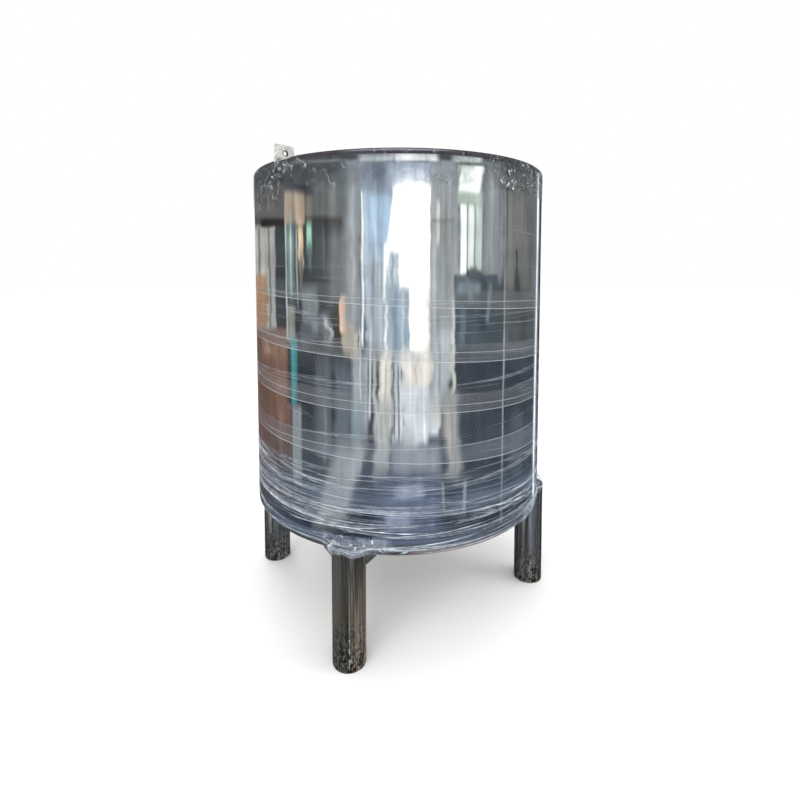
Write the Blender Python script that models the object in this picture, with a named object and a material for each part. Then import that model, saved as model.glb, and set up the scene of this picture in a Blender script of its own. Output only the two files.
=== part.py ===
"""Upright cylindrical storage tank of polished stainless steel on four pipe legs.

Metres, +Z up. The origin is on the floor under the middle of the tank, and the
photograph is taken from the -Y side. An angle is measured at the tank's axis
from the -Y direction, positive towards +X.
"""

import math

import bmesh
import bpy
from mathutils import Matrix, Vector

# Driving dimensions of the vessel
TANK_RADIUS = 0.650
TANK_BOTTOM = 0.429
TANK_TOP = 1.872
PLATE = 0.004
KNUCKLE_RADIUS = 0.025
FLANGE_HEIGHT = 0.030
ROOF_SLOPE = math.radians(4.9)
FLOOR_SLOPE = math.radians(6.8)

# Manway in the middle of the roof
NECK_RADIUS = 0.225
NECK_RISE = 0.035
NECK_DROP = 0.020
COVER_RADIUS = 0.240
COVER_THICKNESS = 0.012
COVER_EDGE = 0.003
HANDLE_SPAN = 0.110
HANDLE_HEIGHT = 0.032
HANDLE_BAR_RADIUS = 0.006
HANDLE_BEND = 0.015

# Outlet in the middle of the floor
OUTLET_RADIUS = 0.0285
OUTLET_WALL = 0.003
OUTLET_LENGTH = 0.090
OUTLET_INSET = 0.010
FERRULE_RADIUS = 0.037
FERRULE_THICKNESS = 0.006
CAP_THICKNESS = 0.008

# Legs, feet and gussets
LEG_ANGLES = {"front": -17.0, "right": 82.0, "back": 163.0, "left": -98.0}
LEG_CIRCLE = 0.620
LEG_RADIUS = 0.0625
LEG_WALL = 0.003
LEG_CAP = 0.005
LEG_OVERLAP = 0.026
FOOT_THICKNESS = 0.008
FOOT_CHAMFER = 0.002
GUSSET_CIRCLE = 0.610
GUSSET_WIDTH = 0.042
GUSSET_DROP = 0.055
GUSSET_THICKNESS = 0.006
GUSSET_TOE = 0.012

# Lifting lugs on the rim
LUG_ANGLES = (-46.0, 134.0)
LUG_OUTER = 0.650
LUG_INNER = 0.566
LUG_RISE = 0.057
LUG_SEAT = 0.012
LUG_THICKNESS = 0.008
LUG_CORNER = 0.006
LUG_HOLE_RADIUS = 0.009
LUG_HOLE_CIRCLE = 0.6045
LUG_HOLE_RISE = 0.026

# Stretch film wound round the shell
FILM_THICKNESS = 0.0012
FILM_BOTTOM = TANK_BOTTOM + LEG_OVERLAP + 0.006
FILM_TOP = TANK_TOP - KNUCKLE_RADIUS - 0.002

# Clearance between pieces that touch, and how far a cutter goes past the tank's end
GAP = 0.0003
CUTTER_DEPTH = 0.200

# Steps round the tank and round the smaller pieces
TANK_STEPS = 72
WALL_PIECES = 12
LEG_STEPS = 32
SMALL_STEPS = 24
NECK_STEPS = 48
KNUCKLE_STEPS = 4
SMOOTH_ANGLE = math.radians(35.0)


def clear_scene():
    """Remove every object that the file starts with."""
    for obj in list(bpy.data.objects):
        bpy.data.objects.remove(obj, do_unlink=True)


def make_material(name, colour, roughness, metallic, alpha=1.0):
    """Return a Principled material with the given colour and finish."""
    mat = bpy.data.materials.new(name)
    mat.use_nodes = True
    shader = mat.node_tree.nodes["Principled BSDF"]
    shader.inputs["Base Color"].default_value = (*colour, 1.0)
    shader.inputs["Roughness"].default_value = roughness
    shader.inputs["Metallic"].default_value = metallic
    shader.inputs["Alpha"].default_value = alpha
    mat.diffuse_color = (*colour, alpha)
    return mat


def make_object(name, bm, mat=None, smooth=True):
    """Turn a finished bmesh into a named object in the scene."""
    bmesh.ops.recalc_face_normals(bm, faces=bm.faces[:])
    mesh = bpy.data.meshes.new(name)
    bm.to_mesh(mesh)
    bm.free()
    if smooth:
        mesh.shade_smooth()
        mesh.set_sharp_from_angle(angle=SMOOTH_ANGLE)
    obj = bpy.data.objects.new(name, mesh)
    bpy.context.scene.collection.objects.link(obj)
    if mat is not None:
        mesh.materials.append(mat)
    return obj


def place_on_circle(obj, radius, angle_deg, z=0.0):
    """Put an object on a circle round the tank, its local +X pointing outwards."""
    angle = math.radians(angle_deg)
    obj.location = (radius * math.sin(angle), -radius * math.cos(angle), z)
    obj.rotation_euler = (0.0, 0.0, angle - math.pi / 2.0)


def turned(name, profile, steps, mat=None, smooth=True):
    """Spin a closed outline of (radius, height) points into a solid of revolution."""
    bm = bmesh.new()
    verts = [bm.verts.new((r, 0.0, z)) for r, z in profile]
    edges = [bm.edges.new((a, b)) for a, b in zip(verts, verts[1:] + verts[:1])]
    bmesh.ops.spin(
        bm, geom=verts + edges, cent=(0, 0, 0), axis=(0, 0, 1),
        angle=2.0 * math.pi, steps=steps, use_merge=True,
    )
    bmesh.ops.remove_doubles(bm, verts=bm.verts[:], dist=1e-6)
    bmesh.ops.dissolve_degenerate(bm, edges=bm.edges[:], dist=1e-6)
    return make_object(name, bm, mat, smooth)


def plate(name, outline, thickness, mat=None):
    """Extrude an outline in the XZ plane into a plate centred on Y = 0."""
    bm = bmesh.new()
    face = bm.faces.new([bm.verts.new((x, -thickness / 2.0, z)) for x, z in outline])
    grown = bmesh.ops.extrude_face_region(bm, geom=[face])
    moved = [item for item in grown["geom"] if isinstance(item, bmesh.types.BMVert)]
    bmesh.ops.translate(bm, verts=moved, vec=(0.0, thickness, 0.0))
    return make_object(name, bm, mat, smooth=False)


def arc_points(centre_r, centre_z, radius, start, end, steps):
    """Return points along an arc in the (radius, height) plane, both ends included."""
    points = []
    for i in range(steps + 1):
        angle = start + (end - start) * i / steps
        points.append((centre_r + radius * math.cos(angle), centre_z + radius * math.sin(angle)))
    return points


def head_curve(offset, slope, inner_radius):
    """Return one face of a roof, rim to middle, with the rim's crown at height zero.

    The curve has a straight flange, a round knuckle and a shallow cone that is
    tangent to the knuckle. A positive offset lies outside the outer face.
    """
    bend = KNUCKLE_RADIUS + offset
    centre_r = TANK_RADIUS - KNUCKLE_RADIUS
    centre_z = -KNUCKLE_RADIUS
    points = [(TANK_RADIUS + offset, centre_z - FLANGE_HEIGHT)]
    points += arc_points(centre_r, centre_z, bend, 0.0, math.pi / 2.0 - slope, KNUCKLE_STEPS)
    last_r, last_z = points[-1]
    points.append((inner_radius, last_z + (last_r - inner_radius) * math.tan(slope)))
    return points


def head_profile(slope, inner_radius):
    """Return the closed outline of a roof plate, with the rim's crown at height zero."""
    outer = head_curve(0.0, slope, inner_radius)
    inner = head_curve(-PLATE, slope, inner_radius)
    return outer + inner[::-1]


def form_profile(slope):
    """Return the outline of the whole tank end, one clearance outside its plates."""
    curve = head_curve(GAP, slope, 0.0)
    return [(0.0, -CUTTER_DEPTH), (TANK_RADIUS + GAP, -CUTTER_DEPTH)] + curve[1:]


def upwards(profile):
    """Move an end's outline to the top of the tank."""
    return [(r, TANK_TOP + z) for r, z in profile]


def downwards(profile):
    """Mirror an end's outline to the bottom of the tank."""
    return [(r, TANK_BOTTOM - z) for r, z in profile]


def make_cutter(name, profile):
    """Make a hidden solid that other pieces are cut with."""
    cutter = turned(name, profile, TANK_STEPS, smooth=False)
    cutter.hide_render = True
    cutter.display_type = "WIRE"
    return cutter


def cut_with(obj, cutter):
    """Cut an object with a hidden solid."""
    modifier = obj.modifiers.new("Fit to tank", "BOOLEAN")
    modifier.operation = "DIFFERENCE"
    modifier.solver = "EXACT"
    modifier.object = cutter


def make_shell(mat):
    """Make the upright wall as equal curved plates with a closed joint between them."""
    low = TANK_BOTTOM + KNUCKLE_RADIUS + FLANGE_HEIGHT + GAP
    high = TANK_TOP - KNUCKLE_RADIUS - FLANGE_HEIGHT - GAP
    section = [
        (TANK_RADIUS, low), (TANK_RADIUS, high),
        (TANK_RADIUS - PLATE, high), (TANK_RADIUS - PLATE, low),
    ]
    sweep = 2.0 * math.pi / WALL_PIECES - GAP / TANK_RADIUS
    for piece in range(WALL_PIECES):
        start = 2.0 * math.pi * piece / WALL_PIECES + GAP / TANK_RADIUS / 2.0
        bm = bmesh.new()
        verts = [bm.verts.new((r, 0.0, z)) for r, z in section]
        edges = [bm.edges.new((a, b)) for a, b in zip(verts, verts[1:] + verts[:1])]
        bmesh.ops.rotate(bm, verts=verts, cent=(0, 0, 0), matrix=Matrix.Rotation(start, 3, "Z"))
        bmesh.ops.spin(
            bm, geom=verts + edges, cent=(0, 0, 0), axis=(0, 0, 1),
            angle=sweep, steps=TANK_STEPS // WALL_PIECES,
        )
        open_edges = [edge for edge in bm.edges if edge.is_boundary]
        bmesh.ops.holes_fill(bm, edges=open_edges, sides=len(section))
        make_object(f"shell_wall_{piece + 1:02d}", bm, mat)


def make_heads(mat):
    """Make the roof with its manway hole and the floor with its outlet hole."""
    roof = head_profile(ROOF_SLOPE, NECK_RADIUS + GAP)
    floor = head_profile(FLOOR_SLOPE, OUTLET_RADIUS + GAP)
    turned("roof_head", upwards(roof), TANK_STEPS, mat)
    turned("floor_head", downwards(floor), TANK_STEPS, mat)


def make_manway(mat):
    """Make the manway's neck, its flat cover and the cover's bar handle."""
    seat = TANK_TOP + head_curve(0.0, ROOF_SLOPE, NECK_RADIUS)[-1][1]
    neck_top = seat + NECK_RISE
    inner = NECK_RADIUS - PLATE
    neck = [
        (NECK_RADIUS, seat - NECK_DROP), (NECK_RADIUS, neck_top),
        (inner, neck_top), (inner, seat - NECK_DROP),
    ]
    turned("manway_neck", neck, NECK_STEPS, mat)
    low = neck_top + GAP
    high = low + COVER_THICKNESS
    cover = [
        (0.0, low), (COVER_RADIUS, low), (COVER_RADIUS, high - COVER_EDGE),
        (COVER_RADIUS - COVER_EDGE, high), (0.0, high),
    ]
    turned("manway_cover", cover, NECK_STEPS, mat)
    make_handle(high + GAP, mat)


def make_handle(seat, mat):
    """Bend a round bar into a handle whose two ends stand on the cover."""
    half = HANDLE_SPAN / 2.0
    bend = HANDLE_BEND
    points = [(-half, 0.0)]
    points += arc_points(-half + bend, HANDLE_HEIGHT - bend, bend, math.pi, math.pi / 2.0, 4)
    points += arc_points(half - bend, HANDLE_HEIGHT - bend, bend, math.pi / 2.0, 0.0, 4)
    points.append((half, 0.0))
    curve = bpy.data.curves.new("manway_handle", "CURVE")
    curve.dimensions = "3D"
    curve.bevel_depth = HANDLE_BAR_RADIUS
    curve.bevel_resolution = 2
    curve.use_fill_caps = True
    spline = curve.splines.new("POLY")
    spline.points.add(len(points) - 1)
    for point, (x, z) in zip(spline.points, points):
        point.co = (x, 0.0, seat + z, 1.0)
    handle = bpy.data.objects.new("manway_handle", curve)
    bpy.context.scene.collection.objects.link(handle)
    curve.materials.append(mat)


def make_outlet(mat):
    """Make the outlet pipe with its ferrule and the blank cap that closes it."""
    seat = TANK_BOTTOM - head_curve(0.0, FLOOR_SLOPE, OUTLET_RADIUS)[-1][1]
    low = seat - OUTLET_LENGTH
    bore = OUTLET_RADIUS - OUTLET_WALL
    pipe = [
        (OUTLET_RADIUS, seat + OUTLET_INSET), (OUTLET_RADIUS, low + FERRULE_THICKNESS),
        (FERRULE_RADIUS, low + FERRULE_THICKNESS), (FERRULE_RADIUS, low),
        (bore, low), (bore, seat + OUTLET_INSET),
    ]
    turned("outlet_pipe", pipe, SMALL_STEPS, mat)
    high = low - GAP
    cap = [
        (0.0, high), (FERRULE_RADIUS, high),
        (FERRULE_RADIUS, high - CAP_THICKNESS), (0.0, high - CAP_THICKNESS),
    ]
    turned("outlet_cap", cap, SMALL_STEPS, mat)


def make_legs(pipe_mat, gusset_mat, cutter):
    """Make the four pipe legs, each with a foot disc and a gusset on either side."""
    leg_top = TANK_BOTTOM + LEG_OVERLAP
    pipe = [
        (0.0, leg_top), (LEG_RADIUS, leg_top), (LEG_RADIUS, FOOT_THICKNESS + GAP),
        (LEG_RADIUS - LEG_WALL, FOOT_THICKNESS + GAP),
        (LEG_RADIUS - LEG_WALL, leg_top - LEG_CAP), (0.0, leg_top - LEG_CAP),
    ]
    foot = [
        (0.0, FOOT_THICKNESS), (LEG_RADIUS, FOOT_THICKNESS), (LEG_RADIUS, FOOT_CHAMFER),
        (LEG_RADIUS - FOOT_CHAMFER, 0.0), (0.0, 0.0),
    ]
    for side, angle in LEG_ANGLES.items():
        leg = turned(f"leg_{side}", pipe, LEG_STEPS, pipe_mat)
        place_on_circle(leg, LEG_CIRCLE, angle)
        cut_with(leg, cutter)
        place_on_circle(turned(f"foot_{side}", foot, LEG_STEPS, pipe_mat), LEG_CIRCLE, angle)
        for hand, name in ((-1.0, "a"), (1.0, "b")):
            make_gusset(f"gusset_{side}_{name}", angle, hand, gusset_mat, cutter)


def make_gusset(name, angle, hand, mat, cutter):
    """Make a three-cornered plate between a leg's side and the tank's floor.

    The plate is a chord of the tank's circle, so it is turned a quarter round
    from the leg, and its upper edge is cut to the floor's form.
    """
    near = math.sqrt(LEG_RADIUS ** 2 - (LEG_CIRCLE - GUSSET_CIRCLE - GUSSET_THICKNESS / 2.0) ** 2) + 2.0 * GAP
    high = TANK_BOTTOM + KNUCKLE_RADIUS
    outline = [
        (hand * near, high), (hand * near, TANK_BOTTOM - GUSSET_DROP),
        (hand * (near + GUSSET_WIDTH), TANK_BOTTOM - GUSSET_TOE), (hand * (near + GUSSET_WIDTH), high),
    ]
    gusset = plate(name, outline, GUSSET_THICKNESS, mat)
    place_on_circle(gusset, GUSSET_CIRCLE, angle)
    gusset.rotation_euler.z += math.pi / 2.0
    cut_with(gusset, cutter)


def make_lugs(mat, cutter):
    """Make the two lifting lugs, upright radial plates with a round hole."""
    low = TANK_TOP - LUG_SEAT
    high = TANK_TOP + LUG_RISE
    outline = [
        (LUG_INNER, low), (LUG_OUTER, low), (LUG_OUTER, high - LUG_CORNER),
        (LUG_OUTER - LUG_CORNER, high), (LUG_INNER + LUG_CORNER, high), (LUG_INNER, high - LUG_CORNER),
    ]
    for number, angle in enumerate(LUG_ANGLES, start=1):
        drill = make_drill(f"lug_drill_{number}", angle)
        lug = plate(f"lifting_lug_{number}", outline, LUG_THICKNESS, mat)
        place_on_circle(lug, 0.0, angle)
        cut_with(lug, cutter)
        cut_with(lug, drill)


def make_drill(name, angle):
    """Make the hidden round bar that cuts a lug's hole."""
    bm = bmesh.new()
    bmesh.ops.create_cone(
        bm, cap_ends=True, segments=SMALL_STEPS, depth=LUG_THICKNESS * 3.0,
        radius1=LUG_HOLE_RADIUS, radius2=LUG_HOLE_RADIUS,
        matrix=Matrix.Rotation(math.pi / 2.0, 4, "X"),
    )
    bmesh.ops.translate(bm, verts=bm.verts[:], vec=Vector((LUG_HOLE_CIRCLE, 0.0, TANK_TOP + LUG_HOLE_RISE)))
    drill = make_object(name, bm, smooth=False)
    place_on_circle(drill, 0.0, angle)
    drill.hide_render = True
    drill.display_type = "WIRE"
    return drill


def make_film(mat):
    """Make the wound film as a thin closed sleeve on the shell."""
    inner = TANK_RADIUS + GAP
    outer = inner + FILM_THICKNESS
    section = [(outer, FILM_BOTTOM), (outer, FILM_TOP), (inner, FILM_TOP), (inner, FILM_BOTTOM)]
    turned("stretch_film", section, TANK_STEPS, mat)


def main():
    """Build the whole tank."""
    clear_scene()
    steel = make_material("mirror_steel", (0.62, 0.64, 0.66), 0.12, 1.0)
    pipe = make_material("leg_steel", (0.33, 0.32, 0.31), 0.30, 1.0)
    dull = make_material("plain_steel", (0.50, 0.50, 0.50), 0.35, 1.0)
    lug = make_material("lug_steel", (0.78, 0.77, 0.74), 0.45, 0.8)
    film = make_material("clear_film", (0.82, 0.87, 0.92), 0.15, 0.0, alpha=0.30)
    make_shell(steel)
    make_heads(steel)
    make_manway(dull)
    make_outlet(dull)
    floor_form = make_cutter("floor_form", downwards(form_profile(FLOOR_SLOPE)))
    roof_form = make_cutter("roof_form", upwards(form_profile(ROOF_SLOPE)))
    make_legs(pipe, dull, floor_form)
    make_lugs(lug, roof_form)
    make_film(film)


main()
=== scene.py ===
"""Dressed scene of an upright storage tank of polished steel, wound in clear stretch film.

Metres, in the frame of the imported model: +Z up, the floor at zero, the camera on the -Y side.
An angle round the tank is measured at its axis from the -Y direction, positive towards +X.
"""
import logging
import math
from dataclasses import dataclass, field
from enum import Enum
from typing import Callable, Sequence

import bpy
import numpy as np
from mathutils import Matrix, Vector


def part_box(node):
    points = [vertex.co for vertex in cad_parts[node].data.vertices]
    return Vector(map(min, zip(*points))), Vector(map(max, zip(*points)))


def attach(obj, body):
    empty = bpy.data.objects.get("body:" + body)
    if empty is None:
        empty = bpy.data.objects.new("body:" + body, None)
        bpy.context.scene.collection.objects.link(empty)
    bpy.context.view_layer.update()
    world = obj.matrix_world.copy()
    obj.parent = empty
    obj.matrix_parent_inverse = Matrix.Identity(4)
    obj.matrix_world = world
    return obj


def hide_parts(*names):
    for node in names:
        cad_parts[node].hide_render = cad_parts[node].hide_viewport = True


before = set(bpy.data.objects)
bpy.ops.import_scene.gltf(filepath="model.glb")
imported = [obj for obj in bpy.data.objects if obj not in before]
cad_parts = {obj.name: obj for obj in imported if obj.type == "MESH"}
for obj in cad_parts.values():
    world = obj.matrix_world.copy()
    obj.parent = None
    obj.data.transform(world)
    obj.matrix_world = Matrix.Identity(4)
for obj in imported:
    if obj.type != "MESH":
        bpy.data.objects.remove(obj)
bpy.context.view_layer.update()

BODY = "root"
Colour = tuple[float, float, float]
log = logging.getLogger("tank")


class Slot(Enum):
    """Names of material slots, which no piece in this script is given."""

    MIRROR = "mirror_steel"
    PLAIN = "plain_steel"
    LEG = "leg_steel"
    LUG = "lug_steel"
    FILM = "clear_film"


@dataclass(frozen=True)
class TankForm:
    """The form of the vessel, whose reach is read from the frame.

    Attributes:
        radius: Outer radius of the round wall.
        bottom: Height of the floor head's lowest knuckle line.
        top: Height of the roof head's crown line.
        knuckle: Radius of the bend between wall and head.
        plate: Thickness of wall and heads.
        roof_slope: Angle of the roof's cone above the horizon.
        floor_slope: Angle of the floor's cone below the horizon.
    """

    radius: float
    bottom: float
    top: float
    knuckle: float = 0.025
    plate: float = 0.004
    roof_slope: float = math.radians(4.9)
    floor_slope: float = math.radians(6.8)

    @staticmethod
    def from_frame() -> "TankForm":
        """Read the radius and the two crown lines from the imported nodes.

        Returns:
            The form, with the heads' flanges taken off their boxes.
        """
        low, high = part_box("roof_head")
        flange = 0.055
        floor_low, floor_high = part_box("floor_head")
        return TankForm(radius=high[0], bottom=floor_high[2] - flange, top=low[2] + flange)

    def head_curve(self, slope: float, inner: float, offset: float = 0.0, bend_steps: int = 14) -> np.ndarray:
        """Return points from the end of the wall to a hole in a head, crown at height zero.

        A quarter bend is swept from level to the cone's angle, and a straight run
        follows the cone inwards.

        Args:
            slope: Angle of the cone.
            inner: Radius at which the curve ends.
            offset: Distance outside the plate's outer face.
            bend_steps: Pieces in the bend.

        Returns:
            An array of (radius, height) rows.
        """
        angle = np.linspace(0.0, math.pi / 2.0 - slope, bend_steps + 1)
        bend = self.knuckle + offset
        radius = self.radius - self.knuckle + bend * np.cos(angle)
        height = -self.knuckle + bend * np.sin(angle)
        run = np.linspace(0.0, 1.0, 14)[1:]
        cone_r = radius[-1] + (inner - radius[-1]) * run
        cone_z = height[-1] + (radius[-1] - cone_r) * math.tan(slope)
        return np.column_stack([np.concatenate([radius, cone_r]), np.concatenate([height, cone_z])])

    def cone_height(self, slope: float, radius: np.ndarray) -> np.ndarray:
        """Return the outer face's height over the crown line at given radii.

        Args:
            slope: Angle of the cone.
            radius: Radii at which the height is wanted, no more than the wall's.

        Returns:
            The knuckle's circle near the wall and the cone further in.
        """
        bend_end = self.radius - self.knuckle + self.knuckle * math.sin(slope)
        crown = self.knuckle * (math.cos(slope) - 1.0)
        cone = crown + (bend_end - radius) * math.tan(slope)
        across = np.clip(radius - self.radius + self.knuckle, 0.0, self.knuckle)
        bend = -self.knuckle + np.sqrt(np.maximum(self.knuckle ** 2 - across ** 2, 0.0))
        return np.where(radius < bend_end, cone, bend)


FORM = TankForm.from_frame()


def smooth_step(value: np.ndarray, low: float, high: float) -> np.ndarray:
    """Rise from 0 at low to 1 at high along a smooth S."""
    share = np.clip((value - low) / (high - low), 0.0, 1.0)
    return share * share * (3.0 - 2.0 * share)


def lattice_noise(u: np.ndarray, v: np.ndarray, seed: int, period: int = 64) -> np.ndarray:
    """Return smooth noise between -1 and 1.

    Random values stand on a square lattice and are blended with a smooth step
    between the four nearest ones.

    Args:
        u: First coordinate, one lattice cell to a unit.
        v: Second coordinate.
        seed: Seed of the random values.
        period: Cells after which the noise repeats.

    Returns:
        An array of the coordinates' shape.
    """
    table = np.random.default_rng(seed).uniform(-1.0, 1.0, (period, period))
    cell_u, cell_v = np.floor(u).astype(int), np.floor(v).astype(int)
    part_u, part_v = u - cell_u, v - cell_v
    ease_u = part_u * part_u * (3.0 - 2.0 * part_u)
    ease_v = part_v * part_v * (3.0 - 2.0 * part_v)
    near_u, near_v = cell_u % period, cell_v % period
    next_u, next_v = (cell_u + 1) % period, (cell_v + 1) % period
    low = table[near_u, near_v] * (1.0 - ease_u) + table[next_u, near_v] * ease_u
    high = table[near_u, next_v] * (1.0 - ease_u) + table[next_u, next_v] * ease_u
    return low * (1.0 - ease_v) + high * ease_v


def around(radius: np.ndarray, angle: np.ndarray, height: np.ndarray) -> np.ndarray:
    """Turn radius, angle round the tank and height into points."""
    return np.stack([radius * np.sin(angle), -radius * np.cos(angle), height + 0.0 * angle], axis=-1)


def grid_faces(rows: int, columns: int, wrap_rows: bool, wrap_columns: bool) -> np.ndarray:
    """Return the quads that join a grid of points.

    Args:
        rows: Points along the first parameter.
        columns: Points along the second parameter.
        wrap_rows: Join the last row to the first.
        wrap_columns: Join the last column to the first.

    Returns:
        An array of four point numbers a face.
    """
    row = np.arange(rows if wrap_rows else rows - 1)[:, None]
    column = np.arange(columns if wrap_columns else columns - 1)[None, :]
    next_row = (row + 1) % rows
    next_column = (column + 1) % columns
    corners = [row * columns + column, row * columns + next_column]
    corners += [next_row * columns + next_column, next_row * columns + column]
    return np.stack([corner + 0 * row + 0 * column for corner in corners], axis=-1).reshape(-1, 4)


@dataclass
class Surface:
    """A piece's mesh while it is worked out as whole arrays."""

    points: np.ndarray
    faces: list[tuple[int, ...]]
    coords: np.ndarray | None = None

    @staticmethod
    def from_grid(
        points: np.ndarray, wrap_rows: bool = False, wrap_columns: bool = False,
        coords: np.ndarray | None = None, cap_rows: bool = False,
    ) -> "Surface":
        """Join a grid of points with quads.

        Args:
            points: Array of rows by columns by three.
            wrap_rows: Close the grid along the first parameter.
            wrap_columns: Close the grid along the second parameter.
            coords: Two surface coordinates for each point.
            cap_rows: Fill the first and the last row with one face each.

        Returns:
            The surface.
        """
        rows, columns = points.shape[:2]
        faces = [tuple(face) for face in grid_faces(rows, columns, wrap_rows, wrap_columns).tolist()]
        if cap_rows:
            faces.append(tuple(range(columns))[::-1])
            faces.append(tuple((rows - 1) * columns + i for i in range(columns)))
        flat = None if coords is None else coords.reshape(-1, 2)
        return Surface(points.reshape(-1, 3), faces, flat)

    def join(self, other: "Surface") -> "Surface":
        """Return both surfaces as one, without welding them."""
        shift = len(self.points)
        faces = self.faces + [tuple(i + shift for i in face) for face in other.faces]
        coords = None
        if self.coords is not None and other.coords is not None:
            coords = np.vstack([self.coords, other.coords])
        return Surface(np.vstack([self.points, other.points]), faces, coords)

    def to_object(self, name: str, outward_from: Sequence[float] | None = None) -> bpy.types.Object:
        """Make the piece's object, smooth shaded, with its coordinates as a UV map.

        Args:
            name: Name of the piece.
            outward_from: Not used.

        Returns:
            The new object, at the origin.
        """
        mesh = bpy.data.meshes.new(name)
        mesh.from_pydata(self.points.tolist(), [], self.faces)
        if self.coords is not None:
            layer = mesh.uv_layers.new(name="surface")
            corner = np.empty(len(mesh.loops), dtype=np.int32)
            mesh.loops.foreach_get("vertex_index", corner)
            layer.data.foreach_set("uv", self.coords[corner].astype(np.float32).ravel())
        mesh.shade_smooth()
        mesh.set_sharp_from_angle(angle=math.radians(40.0))
        obj = bpy.data.objects.new(name, mesh)
        bpy.context.scene.collection.objects.link(obj)
        return obj


def turned_surface(profile: np.ndarray, steps: int, closed: bool = True) -> Surface:
    """Carry an outline of (radius, height) rows round the tank's axis.

    Args:
        profile: The outline, in order.
        steps: Columns round the axis.
        closed: Join the outline's last point to its first.

    Returns:
        The surface, with the distance round and along the outline as coordinates.
    """
    angle = np.linspace(0.0, 2.0 * math.pi, steps, endpoint=False)
    points = around(profile[:, :1], angle[None, :], profile[:, 1:])
    span = np.hypot(*np.diff(profile, axis=0, prepend=profile[:1]).T).cumsum()
    coords = np.stack(np.broadcast_arrays(angle[None, :] * FORM.radius, span[:, None]), axis=-1)
    return Surface.from_grid(points, wrap_rows=closed, wrap_columns=True, coords=coords)


def tube_surface(path: np.ndarray, radius: float, sides: int = 12) -> Surface:
    """Carry a circle along a path, with a flat cap on each end.

    The circle's plane holds a side vector that is square to the path and to the Y direction.

    Args:
        path: Points of the middle line.
        radius: Radius of the circle.
        sides: Points on the circle.

    Returns:
        The closed surface.
    """
    along = np.gradient(path, axis=0)
    along /= np.linalg.norm(along, axis=1, keepdims=True)
    side = np.cross(along, np.array([0.0, 1.0, 0.0]))
    side /= np.maximum(np.linalg.norm(side, axis=1, keepdims=True), 1e-9)
    other = np.cross(along, side)
    turn = np.linspace(0.0, 2.0 * math.pi, sides, endpoint=False)
    ring = side[:, None] * np.cos(turn)[None, :, None] + other[:, None] * np.sin(turn)[None, :, None]
    return Surface.from_grid(path[:, None] + radius * ring, wrap_columns=True, cap_rows=True)


def finish_piece(
    obj: bpy.types.Object, material: bpy.types.Material, nodes: Sequence[str] = (),
    turn_out: bool = True,
) -> bpy.types.Object:
    """Give a piece its material, its body and the nodes that it stands for.

    Args:
        obj: The piece.
        material: Its finish.
        nodes: CAD nodes that it replaces.
        turn_out: Recalculate the normals, for a closed piece.

    Returns:
        The same object.
    """
    if turn_out:
        turn_faces_out(obj)
    obj.data.materials.append(material)
    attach(obj, BODY)
    if nodes:
        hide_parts(*nodes)
    triangles = sum(len(face.vertices) - 2 for face in obj.data.polygons)
    log.info("%s: %d triangles", obj.name, triangles)
    return obj


def turn_faces_out(obj: bpy.types.Object) -> None:
    """Recalculate the outward side of a closed mesh."""
    import bmesh

    bm = bmesh.new()
    bm.from_mesh(obj.data)
    bmesh.ops.recalc_face_normals(bm, faces=bm.faces[:])
    bm.to_mesh(obj.data)
    bm.free()


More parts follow.
